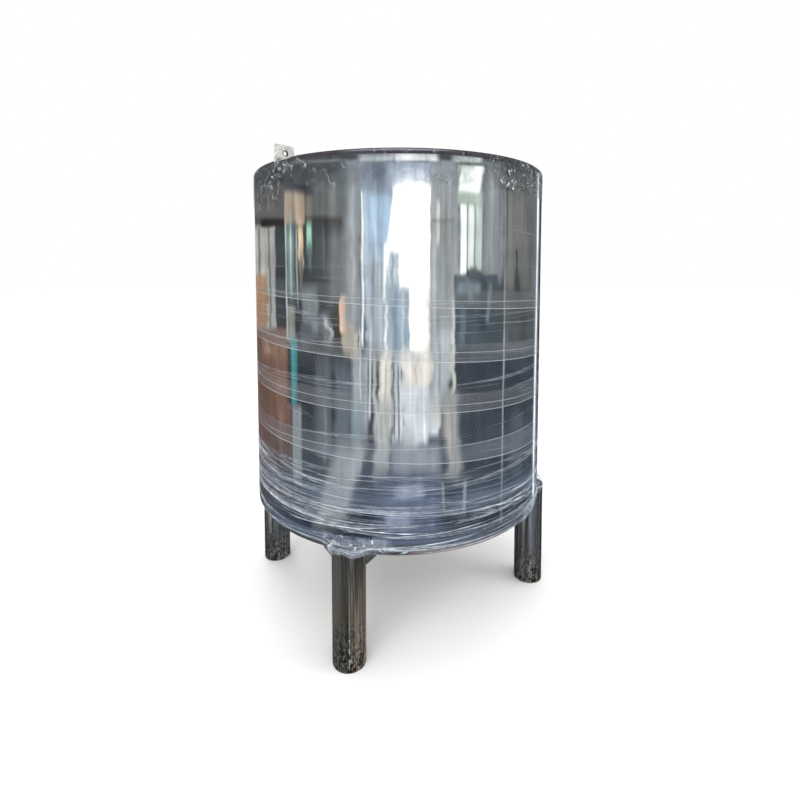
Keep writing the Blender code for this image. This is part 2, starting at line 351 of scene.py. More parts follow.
class NodeSketch:
    """Short forms for building a node tree."""

    def __init__(self, tree: bpy.types.NodeTree) -> None:
        """Work on one tree."""
        self.tree = tree

    def node(self, kind: str, **settings: object) -> bpy.types.Node:
        """Add a node and set its properties."""
        made = self.tree.nodes.new(kind)
        for name, value in settings.items():
            setattr(made, name, value)
        return made

    def link(self, source: bpy.types.NodeSocket, target: bpy.types.NodeSocket) -> None:
        """Join two sockets."""
        self.tree.links.new(source, target)

    def feed(self, target: bpy.types.NodeSocket, value: object) -> None:
        """Link a socket to a socket, or set it to a plain value."""
        if isinstance(value, bpy.types.NodeSocket):
            self.link(value, target)
        elif value is not None:
            target.default_value = value

    def math(self, operation: str, a: object, b: object = None, c: object = None) -> bpy.types.NodeSocket:
        """Add a Math node and return its result."""
        made = self.node("ShaderNodeMath", operation=operation)
        for socket, value in zip(made.inputs, (a, b, c)):
            self.feed(socket, value)
        return made.outputs[0]

    def ramp(self, value: object, low: float, high: float, to_low: float = 0.0, to_high: float = 1.0) -> bpy.types.NodeSocket:
        """Map a value from one range to another along a smooth S."""
        made = self.node("ShaderNodeMapRange", interpolation_type="SMOOTHSTEP")
        self.feed(made.inputs["Value"], value)
        for name, number in (("From Min", low), ("From Max", high), ("To Min", to_low), ("To Max", to_high)):
            self.feed(made.inputs[name], number)
        return made.outputs["Result"]

    def noise(self, vector: object, scale: float, detail: float = 2.0, distortion: float = 0.0) -> bpy.types.NodeSocket:
        """Add a Noise texture and return its value."""
        made = self.node("ShaderNodeTexNoise")
        self.feed(made.inputs["Vector"], vector)
        made.inputs["Scale"].default_value = scale
        made.inputs["Detail"].default_value = detail
        made.inputs["Distortion"].default_value = distortion
        return made.outputs["Fac"]

    def stretch(self, vector: object, scale: Sequence[float]) -> bpy.types.NodeSocket:
        """Scale a vector along its axes."""
        made = self.node("ShaderNodeMapping")
        self.feed(made.inputs["Vector"], vector)
        made.inputs["Scale"].default_value = tuple(scale)
        return made.outputs["Vector"]

    def mix(self, share: object, first: object, second: object) -> bpy.types.NodeSocket:
        """Mix two colours."""
        made = self.node("ShaderNodeMix", data_type="RGBA")
        self.feed(made.inputs[0], share)
        for socket, value in ((made.inputs[6], first), (made.inputs[7], second)):
            self.feed(socket, (*value, 1.0) if isinstance(value, tuple) and len(value) == 3 else value)
        return made.outputs[2]

    def bump(self, height: object, strength: float, distance: float, normal: object = None) -> bpy.types.NodeSocket:
        """Add a Bump node and return its normal."""
        made = self.node("ShaderNodeBump")
        made.inputs["Strength"].default_value = strength
        made.inputs["Distance"].default_value = distance
        self.feed(made.inputs["Height"], height)
        self.feed(made.inputs["Normal"], normal)
        return made.outputs["Normal"]


def new_group(name: str, inputs: Sequence[tuple[str, str, object]], outputs: Sequence[tuple[str, str]]) -> tuple:
    """Make a shader node group.

    Args:
        name: Name of the group.
        inputs: Name, socket type and default of each input.
        outputs: Name and socket type of each output.

    Returns:
        The group, its sketch, its input node and its output node.
    """
    group = bpy.data.node_groups.new(name, "ShaderNodeTree")
    for title, kind, default in inputs:
        socket = group.interface.new_socket(name=title, in_out="INPUT", socket_type=kind)
        if default is not None:
            socket.default_value = default
    for title, kind in outputs:
        group.interface.new_socket(name=title, in_out="OUTPUT", socket_type=kind)
    sketch = NodeSketch(group)
    return group, sketch, sketch.node("NodeGroupInput"), sketch.node("NodeGroupOutput")


def upright_streaks() -> bpy.types.NodeTree:
    """Make the group of upright polishing streaks, stretched along Z.

    Noise is read in coordinates that are squeezed along the height, so that its
    grains become streaks, once broad and once fine.

    Returns:
        The group, with outputs Broad and Fine.
    """
    group, sketch, entry, result = new_group(
        "upright streaks",
        [("Vector", "NodeSocketVector", None), ("Scale", "NodeSocketFloat", 1.0)],
        [("Broad", "NodeSocketFloat"), ("Fine", "NodeSocketFloat")],
    )
    for title, spread, detail in (("Broad", (9.0, 9.0, 0.7), 3.0), ("Fine", (90.0, 90.0, 2.5), 4.0)):
        stretched = sketch.stretch(entry.outputs["Vector"], spread)
        made = sketch.node("ShaderNodeTexNoise")
        sketch.link(stretched, made.inputs["Vector"])
        sketch.link(entry.outputs["Scale"], made.inputs["Scale"])
        made.inputs["Detail"].default_value = detail
        sketch.link(made.outputs["Fac"], result.inputs[title])
    return group


def fine_scuffs() -> bpy.types.NodeTree:
    """Make the group of small scuffs and specks.

    Two noises of different grain are thresholded to sparse marks.

    Returns:
        The group, with outputs Specks and Smears.
    """
    group, sketch, entry, result = new_group(
        "fine scuffs",
        [("Vector", "NodeSocketVector", None), ("Amount", "NodeSocketFloat", 0.5)],
        [("Specks", "NodeSocketFloat"), ("Smears", "NodeSocketFloat")],
    )
    limit = sketch.math("SUBTRACT", 0.78, sketch.math("MULTIPLY", entry.outputs["Amount"], 0.25))
    grain = sketch.noise(entry.outputs["Vector"], 140.0, 3.0)
    above = sketch.math("SUBTRACT", grain, limit)
    sketch.link(sketch.math("MULTIPLY", above, 12.0), result.inputs["Specks"])
    smear = sketch.noise(sketch.stretch(entry.outputs["Vector"], (6.0, 6.0, 11.0)), 3.0, 5.0, 1.5)
    sketch.link(sketch.ramp(smear, 0.42, 0.72), result.inputs["Smears"])
    return group


def film_lines() -> bpy.types.NodeTree:
    """Make the group of fine lines that stretched film shows along its winding.

    Noise that is very long round the tank and very short across the web gives
    lines, and only its crests are kept. A slow noise breaks them up.

    Returns:
        The group, with outputs Lines, Haze and Height.
    """
    group, sketch, entry, result = new_group(
        "film lines",
        [("Vector", "NodeSocketVector", None), ("Density", "NodeSocketFloat", 0.5)],
        [("Lines", "NodeSocketFloat"), ("Haze", "NodeSocketFloat"), ("Height", "NodeSocketFloat")],
    )
    vector = entry.outputs["Vector"]
    slow = sketch.noise(sketch.stretch(vector, (2.2, 9.0, 1.0)), 1.0, 2.0, 0.4)
    thread = sketch.noise(sketch.stretch(vector, (1.3, 150.0, 1.0)), 1.0, 5.0, 0.15)
    limit = sketch.math("SUBTRACT", 0.72, sketch.math("MULTIPLY", entry.outputs["Density"], 0.20))
    crest = sketch.math("MULTIPLY", sketch.math("SUBTRACT", thread, limit), 8.0)
    clipped = sketch.math("MINIMUM", sketch.math("MAXIMUM", crest, 0.0), 1.0)
    sketch.link(sketch.math("MULTIPLY", clipped, sketch.ramp(slow, 0.36, 0.60)), result.inputs["Lines"])
    sketch.link(sketch.ramp(slow, 0.38, 0.66), result.inputs["Haze"])
    sketch.link(thread, result.inputs["Height"])
    return group


def creases() -> bpy.types.NodeTree:
    """Make the group of sharp creases that crumpled film shows.

    A crease is a contour line of a warped noise, and its shadow is the next one.

    Returns:
        The group, with outputs Crest, Shadow and Height.
    """
    group, sketch, entry, result = new_group(
        "creases",
        [("Vector", "NodeSocketVector", None), ("Width", "NodeSocketFloat", 0.012), ("Scale", "NodeSocketFloat", 16.0)],
        [("Crest", "NodeSocketFloat"), ("Shadow", "NodeSocketFloat"), ("Height", "NodeSocketFloat")],
    )
    noise = sketch.node("ShaderNodeTexNoise")
    sketch.link(entry.outputs["Vector"], noise.inputs["Vector"])
    sketch.link(entry.outputs["Scale"], noise.inputs["Scale"])
    noise.inputs["Detail"].default_value = 3.0
    noise.inputs["Distortion"].default_value = 1.5
    crumple = noise.outputs["Fac"]
    for title, level in (("Crest", 0.50), ("Shadow", 0.525)):
        away = sketch.math("ABSOLUTE", sketch.math("SUBTRACT", crumple, level))
        share = sketch.math("DIVIDE", away, entry.outputs["Width"])
        sketch.link(sketch.ramp(share, 1.0, 0.2), result.inputs[title])
    sketch.link(crumple, result.inputs["Height"])
    return group


@dataclass(frozen=True)
class Finish:
    """What every finish shares: a name and the plain values of its shader.

    Attributes:
        name: Name of the material.
        colour: Middle of its base colour.
        roughness: Middle of its roughness.
        metallic: Metallic value.
    """

    name: str
    colour: Colour
    roughness: float
    metallic: float

    def start(self) -> tuple[bpy.types.Material, NodeSketch, bpy.types.Node]:
        """Make the material with its shader's plain values.

        Returns:
            The material, a sketch of its tree and its Principled node.
        """
        material = bpy.data.materials.new(self.name)
        material.use_nodes = True
        sketch = NodeSketch(material.node_tree)
        shader = material.node_tree.nodes["Principled BSDF"]
        shader.inputs["Base Color"].default_value = (*self.colour, 1.0)
        shader.inputs["Roughness"].default_value = self.roughness
        shader.inputs["Metallic"].default_value = self.metallic
        material.diffuse_color = (*self.colour, 1.0)
        return material, sketch, shader

    def place(self, sketch: NodeSketch, group: bpy.types.NodeTree, **values: object) -> bpy.types.Node:
        """Put a shared group into a material and feed its inputs."""
        made = sketch.node("ShaderNodeGroup")
        made.node_tree = group
        for name, value in values.items():
            sketch.feed(made.inputs[name], value)
        return made


@dataclass(frozen=True)
class MirrorSteel(Finish):
    """Mirror-polished stainless sheet with faint waves and upright polishing marks."""

    wave: float = 0.10

    def build(self, groups: dict[str, bpy.types.NodeTree]) -> bpy.types.Material:
        """Build the material from the shared groups."""
        material, sketch, shader = self.start()
        place = sketch.node("ShaderNodeTexCoord").outputs["Object"]
        streaks = self.place(sketch, groups["streaks"], Vector=place, Scale=1.0)
        scuffs = self.place(sketch, groups["scuffs"], Vector=place, Amount=0.25)
        tint = sketch.mix(streaks.outputs["Broad"], tuple(c * 0.90 for c in self.colour), tuple(min(1.0, c * 1.08) for c in self.colour))
        sketch.link(tint, shader.inputs["Base Color"])
        fine = sketch.ramp(streaks.outputs["Fine"], 0.35, 0.75, self.roughness * 0.6, self.roughness * 1.9)
        smeared = sketch.math("ADD", fine, sketch.math("MULTIPLY", scuffs.outputs["Smears"], 0.035))
        sketch.link(smeared, shader.inputs["Roughness"])
        wave = sketch.noise(sketch.stretch(place, (5.0, 5.0, 1.6)), 1.0, 2.0)
        waved = sketch.bump(wave, self.wave, 0.02)
        sketch.link(sketch.bump(streaks.outputs["Fine"], 0.03, 0.001, waved), shader.inputs["Normal"])
        return material


@dataclass(frozen=True)
class PlainSteel(Finish):
    """Satin stainless for small fittings, with scuffed smears that darken it in patches."""

    def build(self, groups: dict[str, bpy.types.NodeTree]) -> bpy.types.Material:
        """Build the material from the shared groups."""
        material, sketch, shader = self.start()
        place = sketch.node("ShaderNodeTexCoord").outputs["Object"]
        scuffs = self.place(sketch, groups["scuffs"], Vector=place, Amount=0.6)
        streaks = self.place(sketch, groups["streaks"], Vector=place, Scale=1.5)
        dull = sketch.mix(scuffs.outputs["Smears"], self.colour, tuple(c * 0.62 for c in self.colour))
        sketch.link(dull, shader.inputs["Base Color"])
        rough = sketch.ramp(streaks.outputs["Fine"], 0.3, 0.8, self.roughness * 0.8, self.roughness * 1.35)
        sketch.link(rough, shader.inputs["Roughness"])
        sketch.link(sketch.bump(scuffs.outputs["Smears"], 0.15, 0.001), shader.inputs["Normal"])
        return material


@dataclass(frozen=True)
class LegSteel(Finish):
    """Dark polished pipe with upright streaks and a scuffed, mottled lower end."""

    mottle_top: float = 0.26

    def build(self, groups: dict[str, bpy.types.NodeTree]) -> bpy.types.Material:
        """Build the material from the shared groups."""
        material, sketch, shader = self.start()
        place = sketch.node("ShaderNodeTexCoord").outputs["Object"]
        height = sketch.node("ShaderNodeSeparateXYZ")
        sketch.link(place, height.inputs[0])
        low = sketch.ramp(height.outputs["Z"], self.mottle_top, 0.0)
        streaks = self.place(sketch, groups["streaks"], Vector=place, Scale=1.25)
        broad = sketch.ramp(streaks.outputs["Broad"], 0.38, 0.64)
        streaked = sketch.mix(broad, tuple(c * 0.45 for c in self.colour), tuple(c * 1.30 for c in self.colour))
        fine = sketch.ramp(streaks.outputs["Fine"], 0.46, 0.62)
        lined = sketch.mix(sketch.math("MULTIPLY", fine, 0.66), streaked, (1.0, 0.93, 0.84))
        blotch = sketch.noise(sketch.stretch(place, (105.0, 105.0, 52.0)), 1.0, 4.0, 1.1)
        dark = sketch.math("MULTIPLY", sketch.ramp(blotch, 0.50, 0.57), low)
        mottled = sketch.mix(dark, lined, (0.020, 0.018, 0.016))
        pale = sketch.math("MULTIPLY", sketch.ramp(blotch, 0.43, 0.37), low)
        sketch.link(sketch.mix(pale, mottled, (0.95, 0.96, 0.92)), shader.inputs["Base Color"])
        rough = sketch.ramp(streaks.outputs["Fine"], 0.3, 0.8, self.roughness * 0.6, self.roughness * 1.6)
        sketch.link(sketch.math("ADD", rough, sketch.math("MULTIPLY", low, 0.12)), shader.inputs["Roughness"])
        first = sketch.bump(streaks.outputs["Fine"], 0.10, 0.001)
        sketch.link(sketch.bump(sketch.math("MULTIPLY", blotch, low), 0.20, 0.001, first), shader.inputs["Normal"])
        return material


@dataclass(frozen=True)
class LugPlate(Finish):
    """Pale plate with dark specks and rubbed patches, and near-black painted shade in and round its hole.

    Attributes:
        hole_circle: Distance of the hole from the tank's axis.
        hole_level: Height of the hole.
        hole_shade: Radius of the painted shade, a dark disc over the hole and its rim.
    """

    hole_circle: float = 0.6045
    hole_level: float = 1.898
    hole_shade: float = 0.0125

    def build(self, groups: dict[str, bpy.types.NodeTree]) -> bpy.types.Material:
        """Build the material from the shared groups."""
        material, sketch, shader = self.start()
        place = sketch.node("ShaderNodeTexCoord").outputs["Object"]
        scuffs = self.place(sketch, groups["scuffs"], Vector=place, Amount=0.8)
        patch = sketch.noise(place, 60.0, 5.0, 0.6)
        worn = sketch.mix(sketch.ramp(patch, 0.45, 0.62), self.colour, tuple(c * 0.78 for c in self.colour))
        speck = sketch.ramp(sketch.noise(place, 210.0, 3.0), 0.57, 0.63)
        specked = sketch.mix(speck, worn, (0.13, 0.13, 0.11))
        # the near-black colour here is painted shade in and round the hole, standing in for the dark seen through it
        sketch.link(sketch.mix(self.hole_shade_mask(sketch, place), specked, (0.012, 0.012, 0.012)), shader.inputs["Base Color"])
        sketch.link(sketch.ramp(patch, 0.3, 0.7, self.roughness * 0.8, self.roughness * 1.3), shader.inputs["Roughness"])
        sketch.link(sketch.bump(scuffs.outputs["Smears"], 0.3, 0.001), shader.inputs["Normal"])
        return material

    def hole_shade_mask(self, sketch: NodeSketch, place: bpy.types.NodeSocket) -> bpy.types.NodeSocket:
        """Return 1 near the hole's axis, where the hole's painted shade lies, by the distance in the lug's own plane.
        """
        parts = sketch.node("ShaderNodeSeparateXYZ")
        sketch.link(place, parts.inputs[0])
        squares = [sketch.math("MULTIPLY", parts.outputs[axis], parts.outputs[axis]) for axis in "XY"]
        reach = sketch.math("SQRT", sketch.math("ADD", *squares))
        across = sketch.math("SUBTRACT", reach, self.hole_circle)
        above = sketch.math("SUBTRACT", parts.outputs["Z"], self.hole_level)
        away = sketch.math("ADD", sketch.math("MULTIPLY", across, across), sketch.math("MULTIPLY", above, above))
        return sketch.ramp(sketch.math("SQRT", away), self.hole_shade, self.hole_shade * 0.86)


@dataclass(frozen=True)
class WeldBead(Finish):
    """A brushed weld, rippled along its run."""

    def build(self, groups: dict[str, bpy.types.NodeTree]) -> bpy.types.Material:
        """Build the material from the shared groups."""
        material, sketch, shader = self.start()
        place = sketch.node("ShaderNodeTexCoord").outputs["Object"]
        ripple = sketch.noise(place, 320.0, 2.0)
        tint = sketch.noise(place, 25.0, 3.0)
        sketch.link(sketch.mix(tint, self.colour, (0.42, 0.33, 0.25)), shader.inputs["Base Color"])
        sketch.link(sketch.bump(ripple, 0.6, 0.002), shader.inputs["Normal"])
        return material


@dataclass(frozen=True)
class ClearFilm(Finish):
    """Clear stretch film: nearly see-through, with bluish-white lines and haze.

    Attributes:
        clear: Opacity where the film is tight and clean.
        hazy: Opacity added in hazy stretches.
        lined: Opacity added on the lines.
        density: Share of the surface that has lines.
        web: Width of the web.
        band: Width of the hazier band along its lower edge.
    """

    clear: float = 0.008
    hazy: float = 0.020
    lined: float = 0.50
    density: float = 0.30
    web: float = 0.40
    band: float = 0.068

    def build(self, groups: dict[str, bpy.types.NodeTree]) -> bpy.types.Material:
        """Build the material from the shared groups."""
        material, sketch, shader = self.start()
        surface = sketch.node("ShaderNodeUVMap", uv_map="surface").outputs["UV"]
        split = sketch.node("ShaderNodeSeparateXYZ")
        sketch.link(surface, split.inputs[0])
        height = sketch.node("ShaderNodeSeparateXYZ")
        sketch.link(sketch.node("ShaderNodeTexCoord").outputs["Object"], height.inputs[0])
        low = sketch.ramp(height.outputs["Z"], 0.95, 0.62)
        worked = sketch.ramp(height.outputs["Z"], 1.52, 1.32)
        density = sketch.math("ADD", self.density, sketch.math("MULTIPLY", low, self.density * 0.9))
        lines = self.place(sketch, groups["film"], Vector=surface, Density=density)
        across = split.outputs["Y"]
        band = sketch.ramp(across, self.web - self.band, self.web - self.band + 0.002)
        upper_hem = sketch.ramp(across, 0.0032, 0.0012)
        lower_hem = sketch.ramp(across, self.web - 0.0032, self.web - 0.0012)
        haze = sketch.math("ADD", self.hazy, sketch.math("MULTIPLY", low, 0.035))
        veil = sketch.math("ADD", self.clear, sketch.math("MULTIPLY", lines.outputs["Haze"], haze))
        veil = sketch.math("ADD", veil, sketch.math("MULTIPLY", sketch.math("MULTIPLY", band, worked), 0.085))
        marks = sketch.math("MAXIMUM", lines.outputs["Lines"], sketch.math("MULTIPLY", sketch.math("MAXIMUM", upper_hem, lower_hem), 0.7))
        marks = sketch.math("MULTIPLY", marks, sketch.math("ADD", sketch.math("MULTIPLY", worked, 0.88), 0.12))
        alpha = sketch.math("ADD", veil, sketch.math("MULTIPLY", marks, self.lined))
        sketch.link(sketch.math("MINIMUM", alpha, 0.95), shader.inputs["Alpha"])
        tinted = sketch.mix(low, self.colour, (0.36, 0.46, 0.60))
        sketch.link(sketch.mix(marks, tinted, (0.88, 0.92, 0.97)), shader.inputs["Base Color"])
        sketch.link(sketch.bump(lines.outputs["Height"], 0.20, 0.001), shader.inputs["Normal"])
        return material


@dataclass(frozen=True)
class BunchedFilm(Finish):
    """Film that is gathered in folds: see-through between white creases, veiled in its body colour, which at the rim
    and in the collar is dark painted shade.

    Attributes:
        body: Opacity of the body colour between the creases, where the film is thickest; with a dark colour it lays
            painted shade.
        crease: Width of a crease, as a step of the noise behind it.
        strength: Opacity of the creases.
        size: Creases to a metre, roughly.
    """

    body: float = 0.20
    crease: float = 0.008
    strength: float = 0.62
    size: float = 13.0

    def build(self, groups: dict[str, bpy.types.NodeTree]) -> bpy.types.Material:
        """Build the material from the shared groups."""
        material, sketch, shader = self.start()
        place = sketch.node("ShaderNodeTexCoord").outputs["Object"]
        patch = sketch.node("ShaderNodeSeparateXYZ")
        sketch.link(sketch.node("ShaderNodeUVMap", uv_map="surface").outputs["UV"], patch.inputs[0])
        sides = sketch.ramp(sketch.math("ABSOLUTE", patch.outputs["X"]), 1.0, 0.72)
        ends = sketch.math("MULTIPLY", sketch.ramp(patch.outputs["Y"], 0.0, 0.10), sketch.ramp(patch.outputs["Y"], 1.0, 0.78))
        fade = sketch.math("MULTIPLY", sides, ends)
        folds = self.place(sketch, groups["creases"], Vector=place, Width=self.crease, Scale=self.size)
        broken = sketch.ramp(sketch.noise(place, 34.0, 2.0), 0.40, 0.56)
        crest, shadow = sketch.math("MULTIPLY", folds.outputs["Crest"], broken), folds.outputs["Shadow"]
        marks = sketch.math("MAXIMUM", crest, sketch.math("MULTIPLY", shadow, 0.7))
        body = sketch.ramp(sketch.noise(place, 12.0, 4.0, 0.8), 0.36, 0.62, self.body * 0.15, self.body)
        alpha = sketch.math("ADD", body, sketch.math("MULTIPLY", marks, self.strength))
        sketch.link(sketch.math("MINIMUM", sketch.math("MULTIPLY", alpha, fade), 0.95), shader.inputs["Alpha"])
        shaded = sketch.mix(shadow, self.colour, (0.018, 0.020, 0.024))
        sketch.link(sketch.mix(crest, shaded, (0.88, 0.90, 0.90)), shader.inputs["Base Color"])
        sketch.link(sketch.bump(folds.outputs["Height"], 0.7, 0.004), shader.inputs["Normal"])
        return material


@dataclass(frozen=True)
class FoldWithHighlight(Finish):
    """Film drawn into a thin fold: milky, with a pale colour that is partly painted highlight on the fold's ridge,
    brighter in places along its run.
    """

    def build(self, groups: dict[str, bpy.types.NodeTree]) -> bpy.types.Material:
        """Build the material from the shared groups."""
        material, sketch, shader = self.start()
        place = sketch.node("ShaderNodeTexCoord").outputs["Object"]
        along = sketch.noise(sketch.stretch(place, (28.0, 28.0, 80.0)), 1.0, 3.0)
        # the pale colour, brighter in places along the run, is partly milky film and partly painted highlight on the
        # fold's ridge
        sketch.link(sketch.mix(sketch.ramp(along, 0.34, 0.62), tuple(c * 0.50 for c in self.colour), self.colour), shader.inputs["Base Color"])
        sketch.link(sketch.bump(along, 0.3, 0.001), shader.inputs["Normal"])
        return material


class Palette:
    """Every material of the tank, built once."""

    def __init__(self) -> None:
        """Build the shared groups and the materials."""
        groups = {"streaks": upright_streaks(), "scuffs": fine_scuffs(), "film": film_lines(), "creases": creases()}
        self.mirror = MirrorSteel("mirror steel", (0.80, 0.81, 0.82), 0.018, 1.0).build(groups)
        self.plain = PlainSteel("satin steel", (0.55, 0.55, 0.54), 0.30, 1.0).build(groups)
        self.leg = LegSteel("leg pipe", (0.62, 0.59, 0.52), 0.11, 0.96).build(groups)
        self.lug = LugPlate("lug plate with painted hole shade", (0.74, 0.74, 0.70), 0.50, 0.15).build(groups)
        self.weld = WeldBead("weld bead", (0.55, 0.54, 0.52), 0.32, 1.0).build(groups)
        self.film = ClearFilm("clear film", (0.42, 0.45, 0.48), 0.22, 0.0).build(groups)
        # its near-black colour is painted shade over the gathered film at the rim
        self.bunch = BunchedFilm("bunched film with painted shade", (0.10, 0.11, 0.12), 0.16, 0.0, body=0.34).build(groups)
        self.wrap = BunchedFilm("leg wrap", (0.46, 0.54, 0.66), 0.20, 0.0, body=0.36, crease=0.020, strength=0.62, size=19.0).build(groups)
        # the folds' pale blue-white colour is partly painted highlight
        self.fold_highlight = FoldWithHighlight("film fold with painted highlight", (0.80, 0.87, 0.96), 0.25, 0.0).build(groups)
        # its dark colour is painted shade over the collar
        self.collar = BunchedFilm("film collar with painted shade", (0.12, 0.14, 0.16), 0.18, 0.0, body=0.20, crease=0.006, strength=0.26, size=11.0).build(groups)


@dataclass
class Vessel:
    """The polished wall and the two heads.

    Attributes:
        wall_steps: Columns round the wall.
        wall_rows: Rows along its height.
        flange: Height of the heads' straight flanges.
        gap: Joint between wall and flange.
        manway_hole: Radius of the roof's hole.
        outlet_hole: Radius of the floor's hole.
    """

    palette: Palette
    wall_steps: int = 288
    wall_rows: int = 48
    flange: float = 0.030
    gap: float = 0.0003
    manway_hole: float = 0.2253
    outlet_hole: float = 0.0288

    def build(self) -> None:
        """Build the wall, the roof head and the floor head."""
        self.build_wall()
        self.build_head("polished_roof", FORM.roof_slope, self.manway_hole, FORM.top, 1.0, "roof_head")
        self.build_head("polished_floor", FORM.floor_slope, self.outlet_hole, FORM.bottom, -1.0, "floor_head")

    def build_wall(self) -> None:
        """Build the round wall with its slight rolling marks.

        The radius is the wall's own, less a few tenths of a millimetre of slow
        noise round and along it, as rolled sheet has. The inner face runs back down.
        """
        low = FORM.bottom + FORM.knuckle + self.flange + self.gap
        high = FORM.top - FORM.knuckle - self.flange - self.gap
        height = np.linspace(low, high, self.wall_rows)[:, None]
        angle = np.linspace(0.0, 2.0 * math.pi, self.wall_steps, endpoint=False)[None, :]
        ease = smooth_step(height, low, low + 0.08) * smooth_step(height, high, high - 0.08)
        dent = 0.5 + 0.5 * lattice_noise(angle * 32.0 / math.pi, height * 2.0 + 0.0 * angle, 5)
        outer = FORM.radius - 0.0004 * dent * ease
        inner = np.full_like(outer, FORM.radius - FORM.plate)
        points = np.concatenate([around(outer, angle, height), around(inner, angle, height)[::-1]])
        coords = np.stack(np.broadcast_arrays(angle * FORM.radius, height), axis=-1)
        coords = np.concatenate([coords, coords[::-1]])
        surface = Surface.from_grid(points, wrap_rows=True, wrap_columns=True, coords=coords)
        walls = [f"shell_wall_{number:02d}" for number in range(1, 13)]
        finish_piece(surface.to_object("polished_wall"), self.palette.mirror, walls)

    def build_head(self, name: str, slope: float, hole: float, level: float, up: float, node: str) -> None:
        """Build one head as a turned plate.

        Args:
            name: Name of the piece.
            slope: Angle of its cone.
            hole: Radius of the hole in its middle.
            level: Height of its crown line.
            up: 1 for the roof and -1 for the floor.
            node: CAD node that it replaces.
        """
        edge = -FORM.knuckle - self.flange
        outer = np.vstack([[FORM.radius, edge], FORM.head_curve(slope, hole)])
        inner = np.vstack([[FORM.radius - FORM.plate, edge], FORM.head_curve(slope, hole, -FORM.plate)])
        profile = np.vstack([outer, inner[::-1]])
        profile[:, 1] = level + up * profile[:, 1]
        surface = turned_surface(profile, self.wall_steps)
        finish_piece(surface.to_object(name), self.palette.mirror, [node])


@dataclass
class Manway:
    """The neck, cover and handle in the middle of the roof."""

    palette: Palette
    steps: int = 160
    edge: float = 0.003

    def build(self) -> None:
        """Build the three pieces from their nodes' boxes."""
        low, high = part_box("manway_neck")
        neck = np.array([[high[0], low[2]], [high[0], high[2]], [high[0] - FORM.plate, high[2]], [high[0] - FORM.plate, low[2]]])
        finish_piece(turned_surface(neck, self.steps).to_object("neck_ring"), self.palette.plain, ["manway_neck"])
        low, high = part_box("manway_cover")
        self.build_cover(high[0], low[2], high[2])
        self.build_handle()

    def build_cover(self, radius: float, low: float, high: float) -> None:
        """Build the cover with a rolled edge, a pressed ring and a shallow dish.

        Args:
            radius: Outer radius.
            low: Height of its underside.
            high: Height of its upper face.
        """
        turn = np.linspace(-math.pi / 2.0, math.pi / 2.0, 9)
        half = (high - low) / 2.0
        rim = np.column_stack([radius - half + half * np.cos(turn), low + half + half * np.sin(turn)])
        share = np.linspace(0.0, 1.0, 26)[1:-1]
        across = (radius - half) * (1.0 - share)
        ring = -0.0025 * np.exp(-((across - 0.205) / 0.006) ** 2)
        face = np.column_stack([across, high + ring - 0.0015 * smooth_step(across, 0.19, 0.05)])
        profile = np.vstack([[0.0005, low], rim, face, [0.0005, high - 0.0015]])
        surface = turned_surface(profile, self.steps)
        finish_piece(surface.to_object("cover_plate"), self.palette.plain, ["manway_cover"])

    def build_handle(self) -> None:
        """Bend the handle's bar: two uprights joined by round corners and a straight top."""
        low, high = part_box("manway_handle")
        bar = (high[1] - low[1]) / 2.0
        half = high[0] - bar
        top = high[2] - bar
        bend = bar * 2.5
        turn = np.linspace(math.pi, math.pi / 2.0, 9)
        left_x = -half + bend + bend * np.cos(turn)
        left_z = top - bend + bend * np.sin(turn)
        x = np.concatenate([[-half], left_x, -left_x[::-1], [half]])
        z = np.concatenate([[low[2]], left_z, left_z[::-1], [low[2]]])
        path = np.column_stack([x, 0.0 * x, z])
        finish_piece(tube_surface(path, bar, 16).to_object("handle_bar"), self.palette.plain, ["manway_handle"])


@dataclass
class Outlet:
    """The drain pipe and its blank cap under the floor."""

    palette: Palette
    steps: int = 64
    wall: float = 0.003
    pipe_radius: float = 0.0285
    ferrule: float = 0.006

    def build(self) -> None:
        """Build both pieces from their nodes' boxes."""
        low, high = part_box("outlet_pipe")
        bore = self.pipe_radius - self.wall
        profile = np.array([
            [self.pipe_radius, high[2]], [self.pipe_radius, low[2] + self.ferrule * 1.6],
            [high[0], low[2] + self.ferrule], [high[0], low[2]], [bore, low[2]], [bore, high[2]],
        ])
        surface = turned_surface(profile, self.steps)
        finish_piece(surface.to_object("drain_pipe"), self.palette.plain, ["outlet_pipe"])
        low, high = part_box("outlet_cap")
        cap = np.array([
            [0.0005, high[2]], [high[0], high[2]], [high[0], low[2] + 0.002],
            [high[0] - 0.002, low[2]], [high[0] - 0.010, low[2] + 0.001], [0.0005, low[2] + 0.001],
        ])
        surface = turned_surface(cap, self.steps)
        finish_piece(surface.to_object("drain_cap"), self.palette.plain, ["outlet_cap"])


